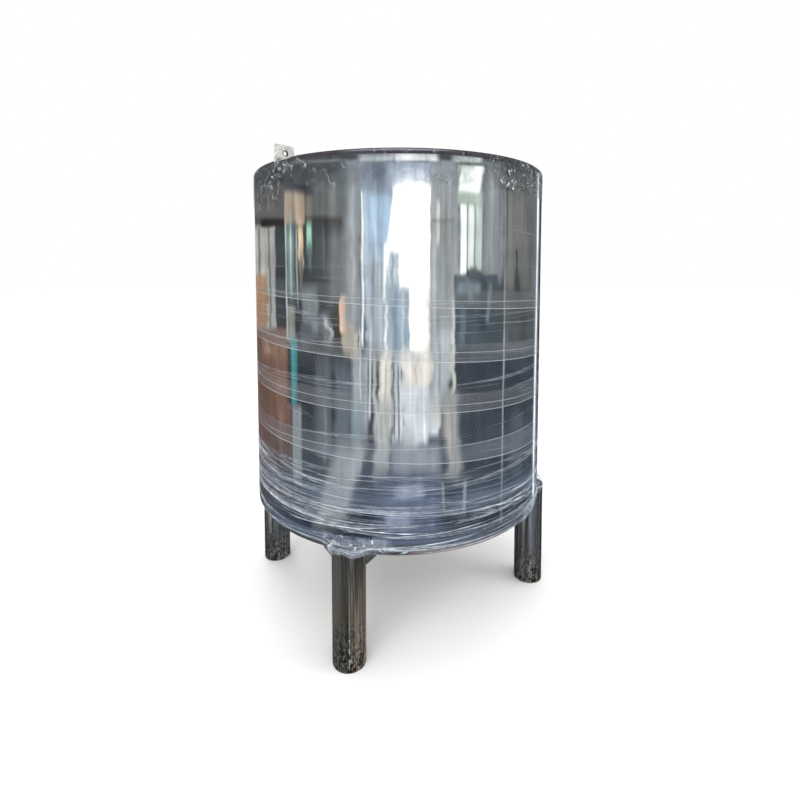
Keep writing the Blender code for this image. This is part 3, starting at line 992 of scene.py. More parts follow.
@dataclass
class Legs:
    """The four pipe legs with their feet and gussets.

    Attributes:
        angles: Angle of each leg round the tank, in degrees.
        circle: Radius of the circle on which the legs stand.
        radius: Outer radius of a leg.
        overlap: How far a leg reaches up beside the wall.
    """

    palette: Palette
    angles: dict[str, float] = field(default_factory=lambda: {"front": -17.0, "right": 82.0, "back": 163.0, "left": -98.0})
    circle: float = 0.620
    radius: float = 0.0625
    wall: float = 0.003
    overlap: float = 0.026
    gap: float = 0.0003
    sides: int = 96
    rows: int = 40

    def build(self) -> None:
        """Build each leg and dress its foot and gussets."""
        for side, angle in self.angles.items():
            self.build_pipe(side, math.radians(angle))
            self.build_foot(side, math.radians(angle))
            for hand in "ab":
                dress_node(f"gusset_{side}_{hand}", self.palette.plain)

    def top_height(self, reach: np.ndarray) -> np.ndarray:
        """Return where a leg's wall ends, given its distance from the tank's axis.

        Under the tank it follows the floor's outer face, and outside the wall it
        rises beside it.

        Args:
            reach: Distances from the tank's axis.

        Returns:
            Heights of the leg's upper edge.
        """
        inside = np.minimum(reach, FORM.radius)
        under = FORM.bottom - FORM.cone_height(FORM.floor_slope, inside) - self.gap
        outside = FORM.bottom + self.overlap
        return under + (outside - under) * smooth_step(reach, FORM.radius - 0.001, FORM.radius + 0.0015)

    def build_pipe(self, side: str, angle: float) -> None:
        """Build one pipe, coped to the tank at its upper end.

        Rows run from the foot to the coped edge, and back down inside.

        Args:
            side: Name of the leg.
            angle: Its angle round the tank.
        """
        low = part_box(f"foot_{side}")[1][2] + self.gap
        turn = np.linspace(0.0, 2.0 * math.pi, self.sides, endpoint=False)[None, :]
        share = np.linspace(0.0, 1.0, self.rows)[:, None] ** 0.8
        centre = around(np.array(self.circle), np.array(angle), np.array(0.0))
        skins = []
        for radius in (self.radius, self.radius - self.wall):
            x = centre[0] + radius * np.cos(turn)
            y = centre[1] + radius * np.sin(turn)
            top = self.top_height(np.hypot(x, y))
            height = low + (top - low) * share
            skins.append(np.stack(np.broadcast_arrays(x, y, height), axis=-1))
        points = np.concatenate([skins[0], skins[1][::-1]])
        coords = np.stack(np.broadcast_arrays(turn * self.radius, np.concatenate([share, share[::-1]]) * 0.43), axis=-1)
        surface = Surface.from_grid(points, wrap_rows=True, wrap_columns=True, coords=coords)
        finish_piece(surface.to_object(f"pipe_{side}"), self.palette.leg, [f"leg_{side}"])

    def build_foot(self, side: str, angle: float) -> None:
        """Build one foot disc with an eased lower edge.

        Args:
            side: Name of the leg.
            angle: Its angle round the tank.
        """
        low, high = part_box(f"foot_{side}")
        ease = np.linspace(0.0, math.pi / 2.0, 6)
        edge = 0.003
        rim = np.column_stack([self.radius - edge + edge * np.sin(ease), low[2] + edge - edge * np.cos(ease)])
        profile = np.vstack([[0.0005, low[2]], rim, [self.radius, high[2]], [0.0005, high[2]]])
        surface = turned_surface(profile, self.sides)
        centre = around(np.array(self.circle), np.array(angle), np.array(0.0))
        surface.points = surface.points + centre
        finish_piece(surface.to_object(f"disc_{side}"), self.palette.leg, [f"foot_{side}"])


def dress_node(name: str, material: bpy.types.Material) -> None:
    """Give a CAD node that keeps its shape a better material."""
    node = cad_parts[name]
    node.data.materials.clear()
    node.data.materials.append(material)
    log.info("%s keeps its solid", name)


@dataclass
class Lugs:
    """The two lifting lugs and the weld at each one's foot."""

    palette: Palette
    angles: tuple[float, ...] = (-46.0, 134.0)
    inner: float = 0.572
    outer: float = 0.640
    half: float = 0.004
    bead: float = 0.0030

    def build(self) -> None:
        """Dress the lugs and lay a weld along both sides of each."""
        for number, degrees in enumerate(self.angles, start=1):
            dress_node(f"lifting_lug_{number}", self.palette.lug)
            beads = [self.weld_run(math.radians(degrees), side) for side in (-1.0, 1.0)]
            piece = beads[0].join(beads[1]).to_object(f"lug_weld_{number}")
            finish_piece(piece, self.palette.weld)

    def weld_run(self, angle: float, side: float) -> Surface:
        """Carry a small circle along the corner between lug and roof.

        Args:
            angle: Angle of the lug round the tank.
            side: -1 or 1 for the side of the plate.

        Returns:
            One weld.
        """
        reach = np.linspace(self.inner, self.outer, 22)
        height = FORM.top + FORM.cone_height(FORM.roof_slope, reach) + self.bead * 0.3
        shift = side * (self.half + self.bead * 0.3)
        x = reach * math.sin(angle) + shift * math.cos(angle)
        y = -reach * math.cos(angle) + shift * math.sin(angle)
        return tube_surface(np.column_stack([x, y, height]), self.bead, 8)


@dataclass(frozen=True)
class FoldFamily:
    """A kind of thin fold in the film, of which many are laid at random.

    Attributes:
        bundles: How many bundles there are.
        each: Folds in a bundle.
        middle: Least and greatest angle of a bundle's middle, in degrees.
        level: Highest and lowest place, as a share of the wall from top to bottom.
        reach: Least and greatest half length, in radians round the tank.
        half: Least and greatest half width, in millimetres.
        spread: How far a bundle opens at its wide end, in metres.
        tilt: Mean and spread of the slope, in metres down over a half length.
        height: Height of a fold as a share of its half width.
    """

    bundles: int
    each: int
    middle: tuple[float, float]
    level: tuple[float, float]
    reach: tuple[float, float]
    half: tuple[float, float]
    spread: float = 0.02
    tilt: tuple[float, float] = (0.0, 0.006)
    height: float = 0.9


@dataclass
class Film:
    """The stretch film: a wound web, its gathered places and its fine folds.

    Attributes:
        web: Width of the roll.
        turns: How many times the web goes round.
        first: Angle at which it starts, in radians.
        under: How far the lowest turn is tucked under the floor's knuckle.
        over: How far the highest turn is folded over the rim.
        clearance: Distance of the first layer from the steel.
        layer: Distance from one layer to the next.
    """

    palette: Palette
    legs: Legs
    web: float = 0.40
    turns: float = 7.0
    first: float = math.radians(200.0)
    under: float = 0.030
    over: float = 0.016
    clearance: float = 0.0005
    layer: float = 0.00012
    columns_a_turn: int = 220
    rows: int = 30

    FOLDS: tuple[tuple[FoldFamily, ...], ...] = (
        (
            FoldFamily(22, 1, (-180.0, 180.0), (0.355, 0.72), (0.25, 0.90), (0.18, 0.36), tilt=(0.0, 0.010)),
            FoldFamily(7, 3, (-180.0, 180.0), (0.36, 0.48), (0.50, 1.10), (0.14, 0.32), 0.014, (0.0, 0.008)),
            FoldFamily(18, 7, (-180.0, 180.0), (0.54, 0.80), (0.25, 0.70), (0.10, 0.24), 0.034, (0.0, 0.012)),
            FoldFamily(16, 8, (-80.0, -34.0), (0.34, 0.90), (0.06, 0.20), (0.08, 0.17), 0.034, (0.014, 0.008)),
            FoldFamily(12, 8, (100.0, 250.0), (0.34, 0.86), (0.07, 0.20), (0.10, 0.20), 0.020, (0.012, 0.006)),
            FoldFamily(1, 1, (43.0, 43.0), (0.177, 0.177), (0.33, 0.33), (0.34, 0.34), 0.0, (0.013, 0.0)),
        ),
        (
            FoldFamily(112, 5, (-180.0, 180.0), (0.80, 1.00), (0.14, 0.70), (0.18, 0.48), 0.050, (0.0, 0.011)),
            FoldFamily(26, 4, (-180.0, 180.0), (0.88, 1.00), (0.20, 0.60), (0.30, 0.80), 0.016, (0.0, 0.011)),
            FoldFamily(26, 1, (-180.0, 180.0), (0.80, 1.00), (0.16, 0.46), (0.9, 2.2), 0.0, (0.0, 0.012), 0.25),
            FoldFamily(12, 2, (-180.0, 180.0), (0.985, 1.012), (0.40, 1.10), (0.5, 1.1), 0.006, (0.0, 0.002), 0.6),
        ),
    )

    def build(self) -> None:
        """Build the web, the gathered places and the folds."""
        self.build_web()
        self.build_collar()
        self.build_bunches()
        self.build_folds()

    def skin(self, angle: np.ndarray, run: np.ndarray, lift: np.ndarray) -> np.ndarray:
        """Return points just outside the tank at an angle and a run down from the rim.

        The run is measured along the tank's outline: over the roof's knuckle where
        it is negative, down the wall, and round the floor's knuckle at the end.
        Beside a leg the skin stands out far enough to cover the leg's top.

        Args:
            angle: Angles round the tank.
            run: Distance down from the upper end of the straight wall.
            lift: Distance outside the steel.

        Returns:
            An array of points.
        """
        wall_top = FORM.top - FORM.knuckle
        straight = wall_top - FORM.bottom - FORM.knuckle
        bend = FORM.knuckle + lift
        over = np.clip(-run / FORM.knuckle, 0.0, math.pi / 2.0 - FORM.roof_slope)
        past_over = np.maximum(-run - FORM.knuckle * (math.pi / 2.0 - FORM.roof_slope), 0.0)
        under = np.clip((run - straight) / FORM.knuckle, 0.0, math.pi / 2.0 - FORM.floor_slope)
        past_under = np.maximum(run - straight - FORM.knuckle * (math.pi / 2.0 - FORM.floor_slope), 0.0)
        radius = FORM.radius - FORM.knuckle + bend * np.cos(over) * np.cos(under) - past_over - past_under
        height = wall_top - np.clip(run, 0.0, straight) + bend * np.sin(over) - bend * np.sin(under)
        height = height + past_over * math.tan(FORM.roof_slope) - past_under * math.tan(FORM.floor_slope)
        return around(radius + self.leg_cover(angle, height), angle, height)

    def leg_cover(self, angle: np.ndarray, height: np.ndarray) -> np.ndarray:
        """Return how far the film stands off the wall to pass over the legs' tops.

        Args:
            angle: Angles round the tank.
            height: Heights.

        Returns:
            The extra radius, a rounded hump at each leg that fades out above it.
        """
        total = 0.0 * angle + 0.0 * height
        reach = self.legs.circle + self.legs.radius - FORM.radius + 0.0012
        for degrees in self.legs.angles.values():
            centre = math.radians(degrees)
            offset = np.abs((angle - centre + math.pi) % (2.0 * math.pi) - math.pi) * FORM.radius
            hump = 1.0 - smooth_step(offset, 0.040, 0.088)
            crown = FORM.bottom + self.legs.overlap
            fade = 1.0 - smooth_step(height, crown + 0.002, crown + 0.040)
            total = np.maximum(total, reach * hump * fade)
        return total

    def build_web(self) -> None:
        """Wind the web from the floor to the rim.

        Along the web the angle grows with the length, and the web's lower edge
        climbs evenly, level for the first and the last turn. Across the web the
        run goes from its upper to its lower edge.
        """
        columns = int(self.columns_a_turn * self.turns)
        travel = np.linspace(0.0, self.turns, columns)[None, :]
        across = np.linspace(0.0, 1.0, self.rows)[:, None]
        straight = FORM.top - FORM.bottom - 2.0 * FORM.knuckle
        lowest = straight + self.under
        climb = np.clip((travel - 0.7) / (self.turns - 1.4), 0.0, 1.0)
        wander = 0.010 * lattice_noise(travel * 3.0, 0.0 * travel, 21)
        edge_top = lowest - self.web - (lowest + self.over - self.web) * climb + wander * np.sin(math.pi * climb)
        run = edge_top + self.web * across
        angle = self.first - travel * 2.0 * math.pi
        ridge = lattice_noise(travel * 9.0 + 0.0 * run, run * 70.0, 31)
        ridge = ridge + 0.5 * lattice_noise(travel * 17.0 + 0.0 * run, run * 150.0, 32)
        lift = self.clearance + self.layer * travel + 0.0003 * np.clip(ridge, 0.0, 2.0)
        points = self.skin(angle + 0.0 * run, run, lift)
        length = travel * 2.0 * math.pi * FORM.radius
        coords = np.stack(np.broadcast_arrays(length, across * self.web), axis=-1)
        piece = Surface.from_grid(points, coords=coords).to_object("wound_film")
        finish_piece(piece, self.palette.film, ["stretch_film"], turn_out=False)

    def build_collar(self) -> None:
        """Lay the crumpled collar of film that is shrunk over the rim.

        It is a ring whose lower edge wanders, and its lift is creased noise.
        """
        angle = np.linspace(0.0, 2.0 * math.pi, 721)[None, :]
        down = np.linspace(0.0, 1.0, 26)[:, None]
        start = -0.030
        depth = 0.135 + 0.030 * lattice_noise(angle * 32.0 / math.pi, 0.0 * angle, 81)
        run = start + depth * down
        crease = 1.0 - 2.0 * np.abs(lattice_noise(angle * 32.0 * 4.0 / math.pi, run * 60.0, 82, 256))
        lift = self.clearance + self.layer * self.turns + 0.0006 + 0.0010 * np.clip(crease, 0.0, 1.0) * smooth_step(down, 0.0, 0.2)
        points = self.skin(angle, run, lift)
        coords = np.stack(np.broadcast_arrays(0.0 * run, down), axis=-1)
        piece = Surface.from_grid(points, coords=coords).to_object("film_collar")
        finish_piece(piece, self.palette.collar, turn_out=False)

    def build_bunches(self) -> None:
        """Build the gathered, creased places at the rim and over the legs."""
        places = {
            "film_fold_left": (-58.0, 17.0, -0.022, 0.175, 41),
            "film_fold_lug": (-37.0, 8.0, -0.014, 0.065, 42),
            "film_fold_right": (52.0, 21.0, -0.020, 0.120, 43),
            "film_fold_front_leg": (-14.0, 13.0, 1.345, 1.432, 44),
            "film_fold_right_leg": (57.0, 9.0, 1.345, 1.430, 45),
            "film_fold_left_leg": (-98.0, 12.0, 1.335, 1.430, 46),
            "film_fold_back_leg": (163.0, 12.0, 1.335, 1.430, 47),
        }
        for name, (centre, spread, start, end, seed) in places.items():
            finish = self.palette.wrap if start > 1.0 else self.palette.bunch
            self.build_bunch(name, centre, spread, start, end, seed, finish)

    def build_bunch(
        self, name: str, centre: float, spread: float, start: float, end: float, seed: int,
        finish: bpy.types.Material,
    ) -> None:
        """Build one creased patch.

        Its lift is the sum of two creased noises, each the sharp crest that one
        minus the absolute value of a noise has, and it fades to nothing at the
        patch's edges.

        Args:
            name: Name of the piece.
            centre: Middle angle in degrees.
            spread: Half width in degrees.
            start: Run of its upper edge.
            end: Run of its lower edge.
            seed: Seed of its noise.
            finish: Its material.
        """
        across = np.linspace(-1.0, 1.0, 120)[None, :]
        down = np.linspace(0.0, 1.0, 80)[:, None]
        angle = np.radians(centre + spread * across) + 0.0 * down
        run = start + (end - start) * down + 0.0 * across
        metres = angle * FORM.radius
        crease = np.zeros_like(angle)
        for size, weight in ((24.0, 1.0), (62.0, 0.45)):
            value = lattice_noise(metres * size + 0.3 * run * size, run * size - 0.4 * metres * size, seed)
            crease = crease + weight * (1.0 - np.abs(value) * 2.0)
        fade = smooth_step(1.0 - np.abs(across), 0.0, 0.25) * smooth_step(down, 0.0, 0.12) * smooth_step(1.0 - down, 0.0, 0.2)
        base = self.clearance + self.layer * self.turns + 0.0012
        points = self.skin(angle, run, base + 0.0018 * fade * np.clip(crease + 0.3, 0.0, 1.7))
        coords = np.stack(np.broadcast_arrays(across, down), axis=-1)
        piece = Surface.from_grid(points, coords=coords).to_object(name)
        finish_piece(piece, finish, turn_out=False)

    def build_folds(self) -> None:
        """Lay the thin folds of every family."""
        rng = np.random.default_rng(11)
        for name, families in zip(("film_strands", "film_strands_low"), self.FOLDS):
            parts = [self.fold_family(family, rng) for family in families]
            folds = parts[0]
            for part in parts[1:]:
                folds = folds.join(part)
            finish_piece(folds.to_object(name), self.palette.fold_highlight)

    def fold_family(self, family: FoldFamily, rng: np.random.Generator) -> Surface:
        """Lay one family of folds.

        A fold is a low three-sided rib along a curve on the film. The folds of a
        bundle start close together and open towards one end, and each is thinnest
        at its ends and uneven between.

        Args:
            family: The family.
            rng: Source of its random values.

        Returns:
            All its ribs as one surface.
        """
        steps = 34
        bundles, each = family.bundles, family.each
        count = bundles * each
        straight = FORM.top - FORM.bottom - 2.0 * FORM.knuckle
        share = np.linspace(-1.0, 1.0, steps)[None, :]

        def per_bundle(low: float, high: float) -> np.ndarray:
            """Draw one value a bundle and repeat it for its folds."""
            return np.repeat(rng.uniform(low, high, (bundles, 1)), each, axis=0)

        middle = np.radians(per_bundle(*family.middle) + rng.uniform(-3.0, 3.0, (count, 1)) * min(each - 1, 1))
        reach = per_bundle(*family.reach) * rng.uniform(0.6, 1.0, (count, 1))
        level = straight * per_bundle(*family.level)
        tilt = np.repeat(rng.normal(*family.tilt, (bundles, 1)), each, axis=0)
        opening = family.spread * rng.uniform(-0.5, 0.5, (count, 1)) * min(each - 1, 1)
        way = np.sign(per_bundle(-1.0, 1.0))
        wave = rng.normal(0.0, 0.0012, (count, 1)) * np.sin(share * rng.uniform(3.0, 10.0, (count, 1)) + rng.uniform(0.0, 6.0, (count, 1)))
        run = level + tilt * share + opening * (0.55 + 0.45 * way * share) + wave
        angle = middle + reach * share
        taper = np.sqrt(np.maximum(1.0 - share ** 2, 0.0))
        rows = np.arange(count)[:, None] * 1.7
        uneven = 0.55 + 0.45 * lattice_noise(share * 5.0 + rows, 0.0 * share + rows, 91, 97)
        width = 0.001 * rng.uniform(*family.half, (count, 1)) * taper * uneven + 0.00002
        base = self.clearance + self.layer * self.turns + 0.0003
        sides = [
            self.skin(angle, run + offset * width, base + top * width * family.height)
            for offset, top in ((-1.0, 0.0), (0.0, 1.0), (1.0, 0.0))
        ]
        strips = np.stack(sides, axis=1)
        faces = grid_faces(3, steps, True, False)
        shift = (3 * steps * np.arange(count))[:, None, None]
        all_faces = (faces[None] + shift).reshape(-1, 4)
        return Surface(strips.reshape(-1, 3), [tuple(face) for face in all_faces.tolist()])


@dataclass(frozen=True)
class Card:
    """A plain card or bright panel of the studio, named by where the front of the tank shows it.

    Attributes:
        left: Column of its left edge in the 800-pixel picture.
        right: Column of its right edge.
        top: Row of its upper edge.
        bottom: Row of its lower edge.
        tone: Red, green and blue as on a screen, 255 for white.
        gain: Factor on its light, over 1 for a lit panel.
        blur: Width of its soft side edges, in columns.
        fade: Width of its soft upper and lower edges, in rows.
        lean: Columns that it moves to the right from its top to its bottom.
        ragged: Columns by which its side edges wander.
    """

    left: float
    right: float
    top: float
    bottom: float
    tone: tuple[int, int, int]
    gain: float = 1.0
    blur: float = 1.5
    fade: float = 4.0
    lean: float = 0.0
    ragged: float = 0.0

    def light(self) -> np.ndarray:
        """Return its light as linear red, green and blue."""
        shade = np.array(self.tone) / 255.0
        linear = np.where(shade <= 0.04045, shade / 12.92, ((shade + 0.055) / 1.055) ** 2.4)
        grey_part = linear @ np.array([0.2126, 0.7152, 0.0722])
        return self.gain * (0.86 * linear + 0.14 * grey_part) / 0.80

    def mask(self, column: np.ndarray, row: np.ndarray) -> np.ndarray:
        """Return how much it covers each point: the product of four soft edges."""
        drift = self.lean * (row - self.top) / max(self.bottom - self.top, 1.0)
        if self.ragged > 0.0:
            seed = int(self.left * 7 + self.top)
            drift = drift + self.ragged * lattice_noise(row / 9.0, column * 0.0, seed)
            drift = drift + 0.5 * self.ragged * lattice_noise(row / 3.7, column * 0.0, seed + 1)
        sides = smooth_step(column - self.left - drift, -0.5 * self.blur, 0.5 * self.blur)
        sides = sides * smooth_step(self.right + drift - column, -0.5 * self.blur, 0.5 * self.blur)
        ends = smooth_step(row - self.top, -0.5 * self.fade, 0.5 * self.fade)
        return sides * ends * smooth_step(self.bottom - row, -0.5 * self.fade, 0.5 * self.fade)


@dataclass
class Surroundings:
    """The ring of cards and panels that the polished steel mirrors.

    The cards stand on a wide dome round the tank, which only glossy rays meet.
    Their colours are painted on its points, later cards over earlier ones.

    Attributes:
        reach: Radius of the dome.
        eye: The camera's distance from the tank's axis, in tank radii.
        focal: Focal length in picture columns.
        middle: Column of the tank's axis.
        level: Row of the camera's axis.
        pitch: Angle by which the camera looks down.
    """

    reach: float = 60.0
    eye: float = 3.6
    focal: float = 492.0
    middle: float = 398.1
    level: float = 295.5
    pitch: float = math.radians(3.5)

    CARDS: tuple[Card, ...] = (
        # ceiling and the soft zone under it
        Card(200, 700, -900, 186, (66, 70, 73), fade=24),
        Card(200, 700, -900, 120, (60, 54, 60), fade=24),
        Card(346, 462, 146, 192, (146, 156, 164), blur=22, fade=16),
        Card(460, 503, 146, 192, (118, 124, 126), blur=10, fade=16),
        Card(394, 436, 131, 150, (240, 244, 248), 1.3, 12, 8),
        Card(360, 396, 132, 149, (190, 198, 206), 1.0, 10, 8),
        Card(452, 480, 132, 150, (198, 208, 202), 1.0, 8, 8),
        Card(290, 345, 138, 150, (112, 116, 120), 1.0, 20, 6),
        # floor side
        Card(200, 700, 455, 900, (44, 52, 66), fade=50),
        Card(200, 700, 560, 900, (64, 64, 62), fade=60),
        Card(250, 394, 575, 900, (62, 62, 55), fade=30, blur=14),
        Card(402, 560, 572, 900, (128, 118, 110), fade=20, blur=10),
        Card(404.5, 410, 572, 900, (170, 196, 210), 1.4, 2.0, 20),
        Card(412, 418, 572, 900, (44, 42, 40), blur=3, fade=20),
        # far left
        Card(250, 287, 150, 215, (64, 66, 66), fade=18),
        Card(250, 287, 186, 216, (98, 96, 94), fade=14),
        Card(250, 277, 224, 327, (170, 170, 162), fade=8, ragged=1.2),
        Card(259, 261, 226, 300, (116, 114, 106), blur=1, ragged=0.6),
        Card(263, 265, 226, 320, (176, 174, 166), blur=1, ragged=0.6),
        Card(269, 271, 226, 325, (120, 120, 112), blur=1, ragged=0.8),
        Card(250, 267, 272, 330, (158, 122, 92), fade=10, ragged=1.6),
        Card(276, 287, 220, 331, (48, 58, 60), fade=4, ragged=0.5),
        Card(250, 289, 326, 486, (122, 88, 72), fade=8, ragged=0.5),
        Card(250, 268, 334, 486, (104, 78, 66), blur=9, fade=20),
        Card(250, 289, 412, 480, (100, 76, 68), blur=6, fade=60),
        Card(262, 288, 340, 352, (142, 106, 84), fade=14, blur=6),
        Card(276, 280, 336, 470, (128, 98, 82), blur=3, fade=30, ragged=1.0),
        Card(250, 289, 455, 500, (66, 60, 64), blur=4, fade=46),
        # left strips
        Card(286, 306, 191, 223, (168, 152, 134), fade=5),
        Card(296, 306, 194, 223, (180, 160, 136), blur=3, fade=8),
        Card(306, 314, 193, 223, (122, 114, 102), fade=5),
        Card(314, 346, 178, 225, (104, 109, 108), blur=6, fade=20),
        Card(330, 338, 182, 225, (122, 127, 126), blur=6, fade=24),
        Card(318, 322, 186, 218, (92, 98, 98), blur=4, fade=20),
        Card(262, 286, 217.5, 224.5, (30, 22, 18), fade=1.6),
        Card(306, 345, 215, 222.5, (62, 54, 44), fade=1.6),
        Card(316, 328, 215, 222.5, (56, 50, 42), blur=4, fade=2),
        Card(258, 286, 225, 226.2, (168, 170, 166), blur=3, fade=1),
        Card(287, 346, 223, 400, (50, 56, 58), fade=3, blur=4),
        Card(288, 297, 223, 290, (110, 132, 128), fade=26, ragged=0.8),
        Card(291, 292.5, 224, 290, (186, 204, 198), blur=1, fade=30),
        Card(294.5, 296, 224, 300, (66, 90, 88), blur=1, fade=20),
        Card(296.4, 297.4, 224, 300, (190, 196, 190), blur=0.9, fade=30),
        Card(299, 304, 224, 264, (234, 204, 164), fade=22, ragged=0.6),
        Card(300, 303, 250, 285, (112, 106, 98), fade=26),
        Card(308, 312.5, 223, 246, (162, 222, 190), fade=16),
        Card(309, 312, 240, 268, (84, 104, 106), fade=22),
        Card(316, 330, 228, 285, (66, 72, 74), blur=8, fade=26, ragged=0.8),
        Card(330, 347, 226, 300, (112, 116, 118), blur=10, fade=30, ragged=0.8),
        Card(322, 324, 226, 280, (92, 96, 96), blur=1.5, fade=26, ragged=0.6),
        Card(286.6, 287.7, 222, 338, (206, 212, 208), blur=0.9),
        Card(288, 294.5, 303, 342, (138, 140, 132), fade=5),
        Card(303, 318, 287, 333, (124, 134, 136), blur=3, fade=16, ragged=1.2),
        Card(301, 312, 318, 350, (84, 92, 98), blur=4, fade=20, ragged=1.0),
        Card(318, 333, 311, 347, (108, 116, 122), blur=6, fade=16, lean=6, ragged=4.0),
        Card(324, 328, 316, 338, (190, 196, 198), blur=3, fade=12, lean=6, ragged=3.0),
        Card(296, 330, 345, 372, (54, 58, 62), blur=6, fade=14, ragged=3.0),
        Card(334, 343, 300, 352, (66, 58, 52), blur=3, fade=12, ragged=1.0),
        Card(341, 352, 294, 332, (238, 198, 166), fade=5, ragged=0.8),
        Card(344, 357.5, 328, 358, (184, 174, 150), blur=3, fade=8, ragged=1.5),
        Card(290.3, 296.3, 336, 401, (44, 138, 142), fade=4),
        Card(296, 350, 352, 500, (46, 53, 60), blur=4, fade=16),
        Card(315, 331, 358, 452, (88, 96, 102), blur=7, fade=30, ragged=1.0),
        Card(322, 325, 400, 462, (108, 114, 118), blur=3, fade=30, ragged=1.0),
        Card(334, 349, 362, 448, (92, 102, 112), blur=5, fade=30, ragged=1.2),
        Card(291, 300, 403, 480, (128, 136, 138), fade=10),
        Card(351, 368, 352, 440, (150, 160, 168), blur=6, fade=30, ragged=0.6),
        Card(350, 360, 402, 474, (128, 146, 154), blur=2.5, fade=24),
        Card(336, 366, 446, 524, (146, 150, 150), blur=12, fade=30, lean=-24),
        Card(352, 364, 452, 476, (160, 168, 172), blur=8, fade=16, lean=-8),
        # middle
        Card(346, 361, 176, 330, (144, 151, 154), blur=7, fade=40, ragged=0.8),
        Card(351, 354, 180, 320, (164, 170, 172), blur=3, fade=40, ragged=1.0),
        Card(362, 392, 158, 192, (130, 144, 158), blur=4, fade=12, ragged=2.0),
        Card(372, 384, 160, 178, (104, 120, 136), blur=6, fade=10, ragged=3.0),
        Card(363.5, 392, 191, 262, (170, 200, 226), blur=2, fade=10),
        Card(364, 370, 191, 300, (188, 208, 226), blur=4, fade=60),
        Card(374, 376, 196, 300, (196, 216, 236), blur=2, fade=60),
        Card(366, 392, 250, 352, (166, 180, 190), blur=4, fade=50, ragged=1.5),
        Card(378, 381, 262, 352, (186, 196, 202), blur=2, fade=50, ragged=0.8),
        Card(370, 373, 256, 330, (140, 156, 172), blur=2, fade=50, ragged=0.8),
        Card(361.2, 363.2, 189, 344, (236, 240, 242), 1.1, 1.2, ragged=0.3),
        Card(390, 434, 158, 190, (186, 202, 220), blur=14, fade=16),
        Card(396, 428, 172, 192, (226, 236, 246), 1.1, 12, 14),
        Card(393, 429.5, 184, 240, (252, 255, 255), 2.6, 5, 9, lean=0),
        Card(392, 428.5, 196, 262, (252, 255, 255), 2.2, 4, 16, lean=-7),
        Card(399, 430.3, 230, 292, (252, 255, 255), 2.6, 3.5, 12),
        Card(387, 399.5, 246, 300, (196, 208, 214), blur=3, fade=14, ragged=1.6),
        Card(391, 394, 250, 300, (150, 164, 174), blur=2, fade=16, ragged=1.2),
        Card(384.2, 387, 240, 300, (244, 248, 250), 1.3, 1.8, 10, lean=-2),
        Card(386, 411, 282, 360, (152, 172, 188), blur=3, fade=22, ragged=1.5),
        Card(393, 397, 288, 356, (128, 150, 170), blur=2, fade=22, ragged=1.0),
        Card(402, 405, 286, 356, (184, 198, 208), blur=2, fade=22, ragged=1.0),
        Card(410, 425.8, 262, 352, (250, 255, 255), 1.8, 2.5, 14, ragged=0.7),
        Card(425, 431, 268, 352, (246, 240, 226), 1.15, 2.0, 20, ragged=0.5),
        Card(384, 387, 300, 362, (222, 230, 234), blur=1.5, fade=20, ragged=1.0),
        Card(369, 371, 322, 420, (214, 220, 224), 1.0, 1.3, 16),
        Card(358.5, 360, 326, 402, (216, 220, 218), 1.0, 1.3, 16, ragged=0.5),
        Card(373.5, 377, 352, 440, (186, 188, 182), 1.0, 3, 30, ragged=1.0),
        Card(380, 391.5, 350, 432, (240, 236, 224), blur=3, fade=26, ragged=0.8),
        Card(384, 386, 360, 430, (200, 194, 178), blur=1.5, fade=26, ragged=0.6),
        Card(378, 392, 404, 472, (176, 180, 180), blur=6, fade=44, lean=-4, ragged=1.0),
        Card(392, 402, 352, 446, (206, 213, 218), blur=2, fade=16, ragged=0.8),
        Card(393, 395, 360, 440, (112, 122, 130), blur=1.4, fade=20, ragged=0.5),
        Card(398, 399.6, 366, 448, (96, 104, 112), blur=1.3, fade=20, ragged=0.4),
        Card(402, 434, 350, 400, (238, 234, 226), blur=4, fade=16, ragged=1.2),
        Card(424, 434, 346, 386, (236, 228, 214), blur=3, fade=20, lean=4, ragged=0.8),
        Card(414, 417, 356, 392, (214, 196, 178), blur=2, fade=16, ragged=0.8),
        Card(402, 416, 386, 453, (208, 216, 222), blur=4, fade=10, ragged=1.0),
        Card(413, 428, 386, 446, (212, 220, 226), blur=4, fade=10, ragged=1.0),
        Card(425, 441, 386, 435, (208, 216, 222), blur=4, fade=10, ragged=1.5),
        Card(416, 424, 400, 440, (232, 238, 242), blur=5, fade=18, lean=5, ragged=1.5),
        Card(434, 443, 372, 424, (194, 196, 192), blur=4, fade=30),
        Card(392, 442, 446, 476, (142, 150, 160), blur=10, fade=26),
        Card(378, 440, 478, 548, (78, 92, 116), blur=20, fade=20, ragged=3.0),
        Card(392, 420, 486, 500, (150, 164, 184), blur=10, fade=6, ragged=4.0),
        Card(384, 412, 514, 524, (140, 154, 178), blur=10, fade=6, ragged=4.0),
        # right of the middle
        Card(430, 460, 168, 352, (152, 158, 160), blur=5, fade=26, ragged=1.0),
        Card(431, 436, 190, 352, (178, 184, 186), blur=3, fade=30, ragged=0.6),
        Card(436, 439, 199, 242, (222, 218, 208), blur=1.6, fade=10, ragged=0.4),
        Card(444, 447, 200, 300, (134, 140, 142), blur=3, fade=30, ragged=1.0),
        Card(431, 455, 216, 218, (120, 104, 94), blur=3, fade=1.6),
        Card(431, 455, 221.5, 223, (124, 108, 98), blur=3, fade=1.6),
        Card(431, 452, 330, 402, (170, 180, 184), blur=4, fade=30, ragged=2.0),
        Card(436, 439, 340, 402, (192, 198, 198), blur=1.5, fade=20, ragged=1.0),
        Card(440, 443, 345, 392, (142, 154, 162), blur=2, fade=20),
        Card(458, 482, 162, 172, (176, 188, 180), blur=4, fade=8, ragged=1.0),
        Card(461.5, 481.5, 166, 193, (240, 248, 240), 1.5, 3, 8, lean=-2, ragged=0.8),
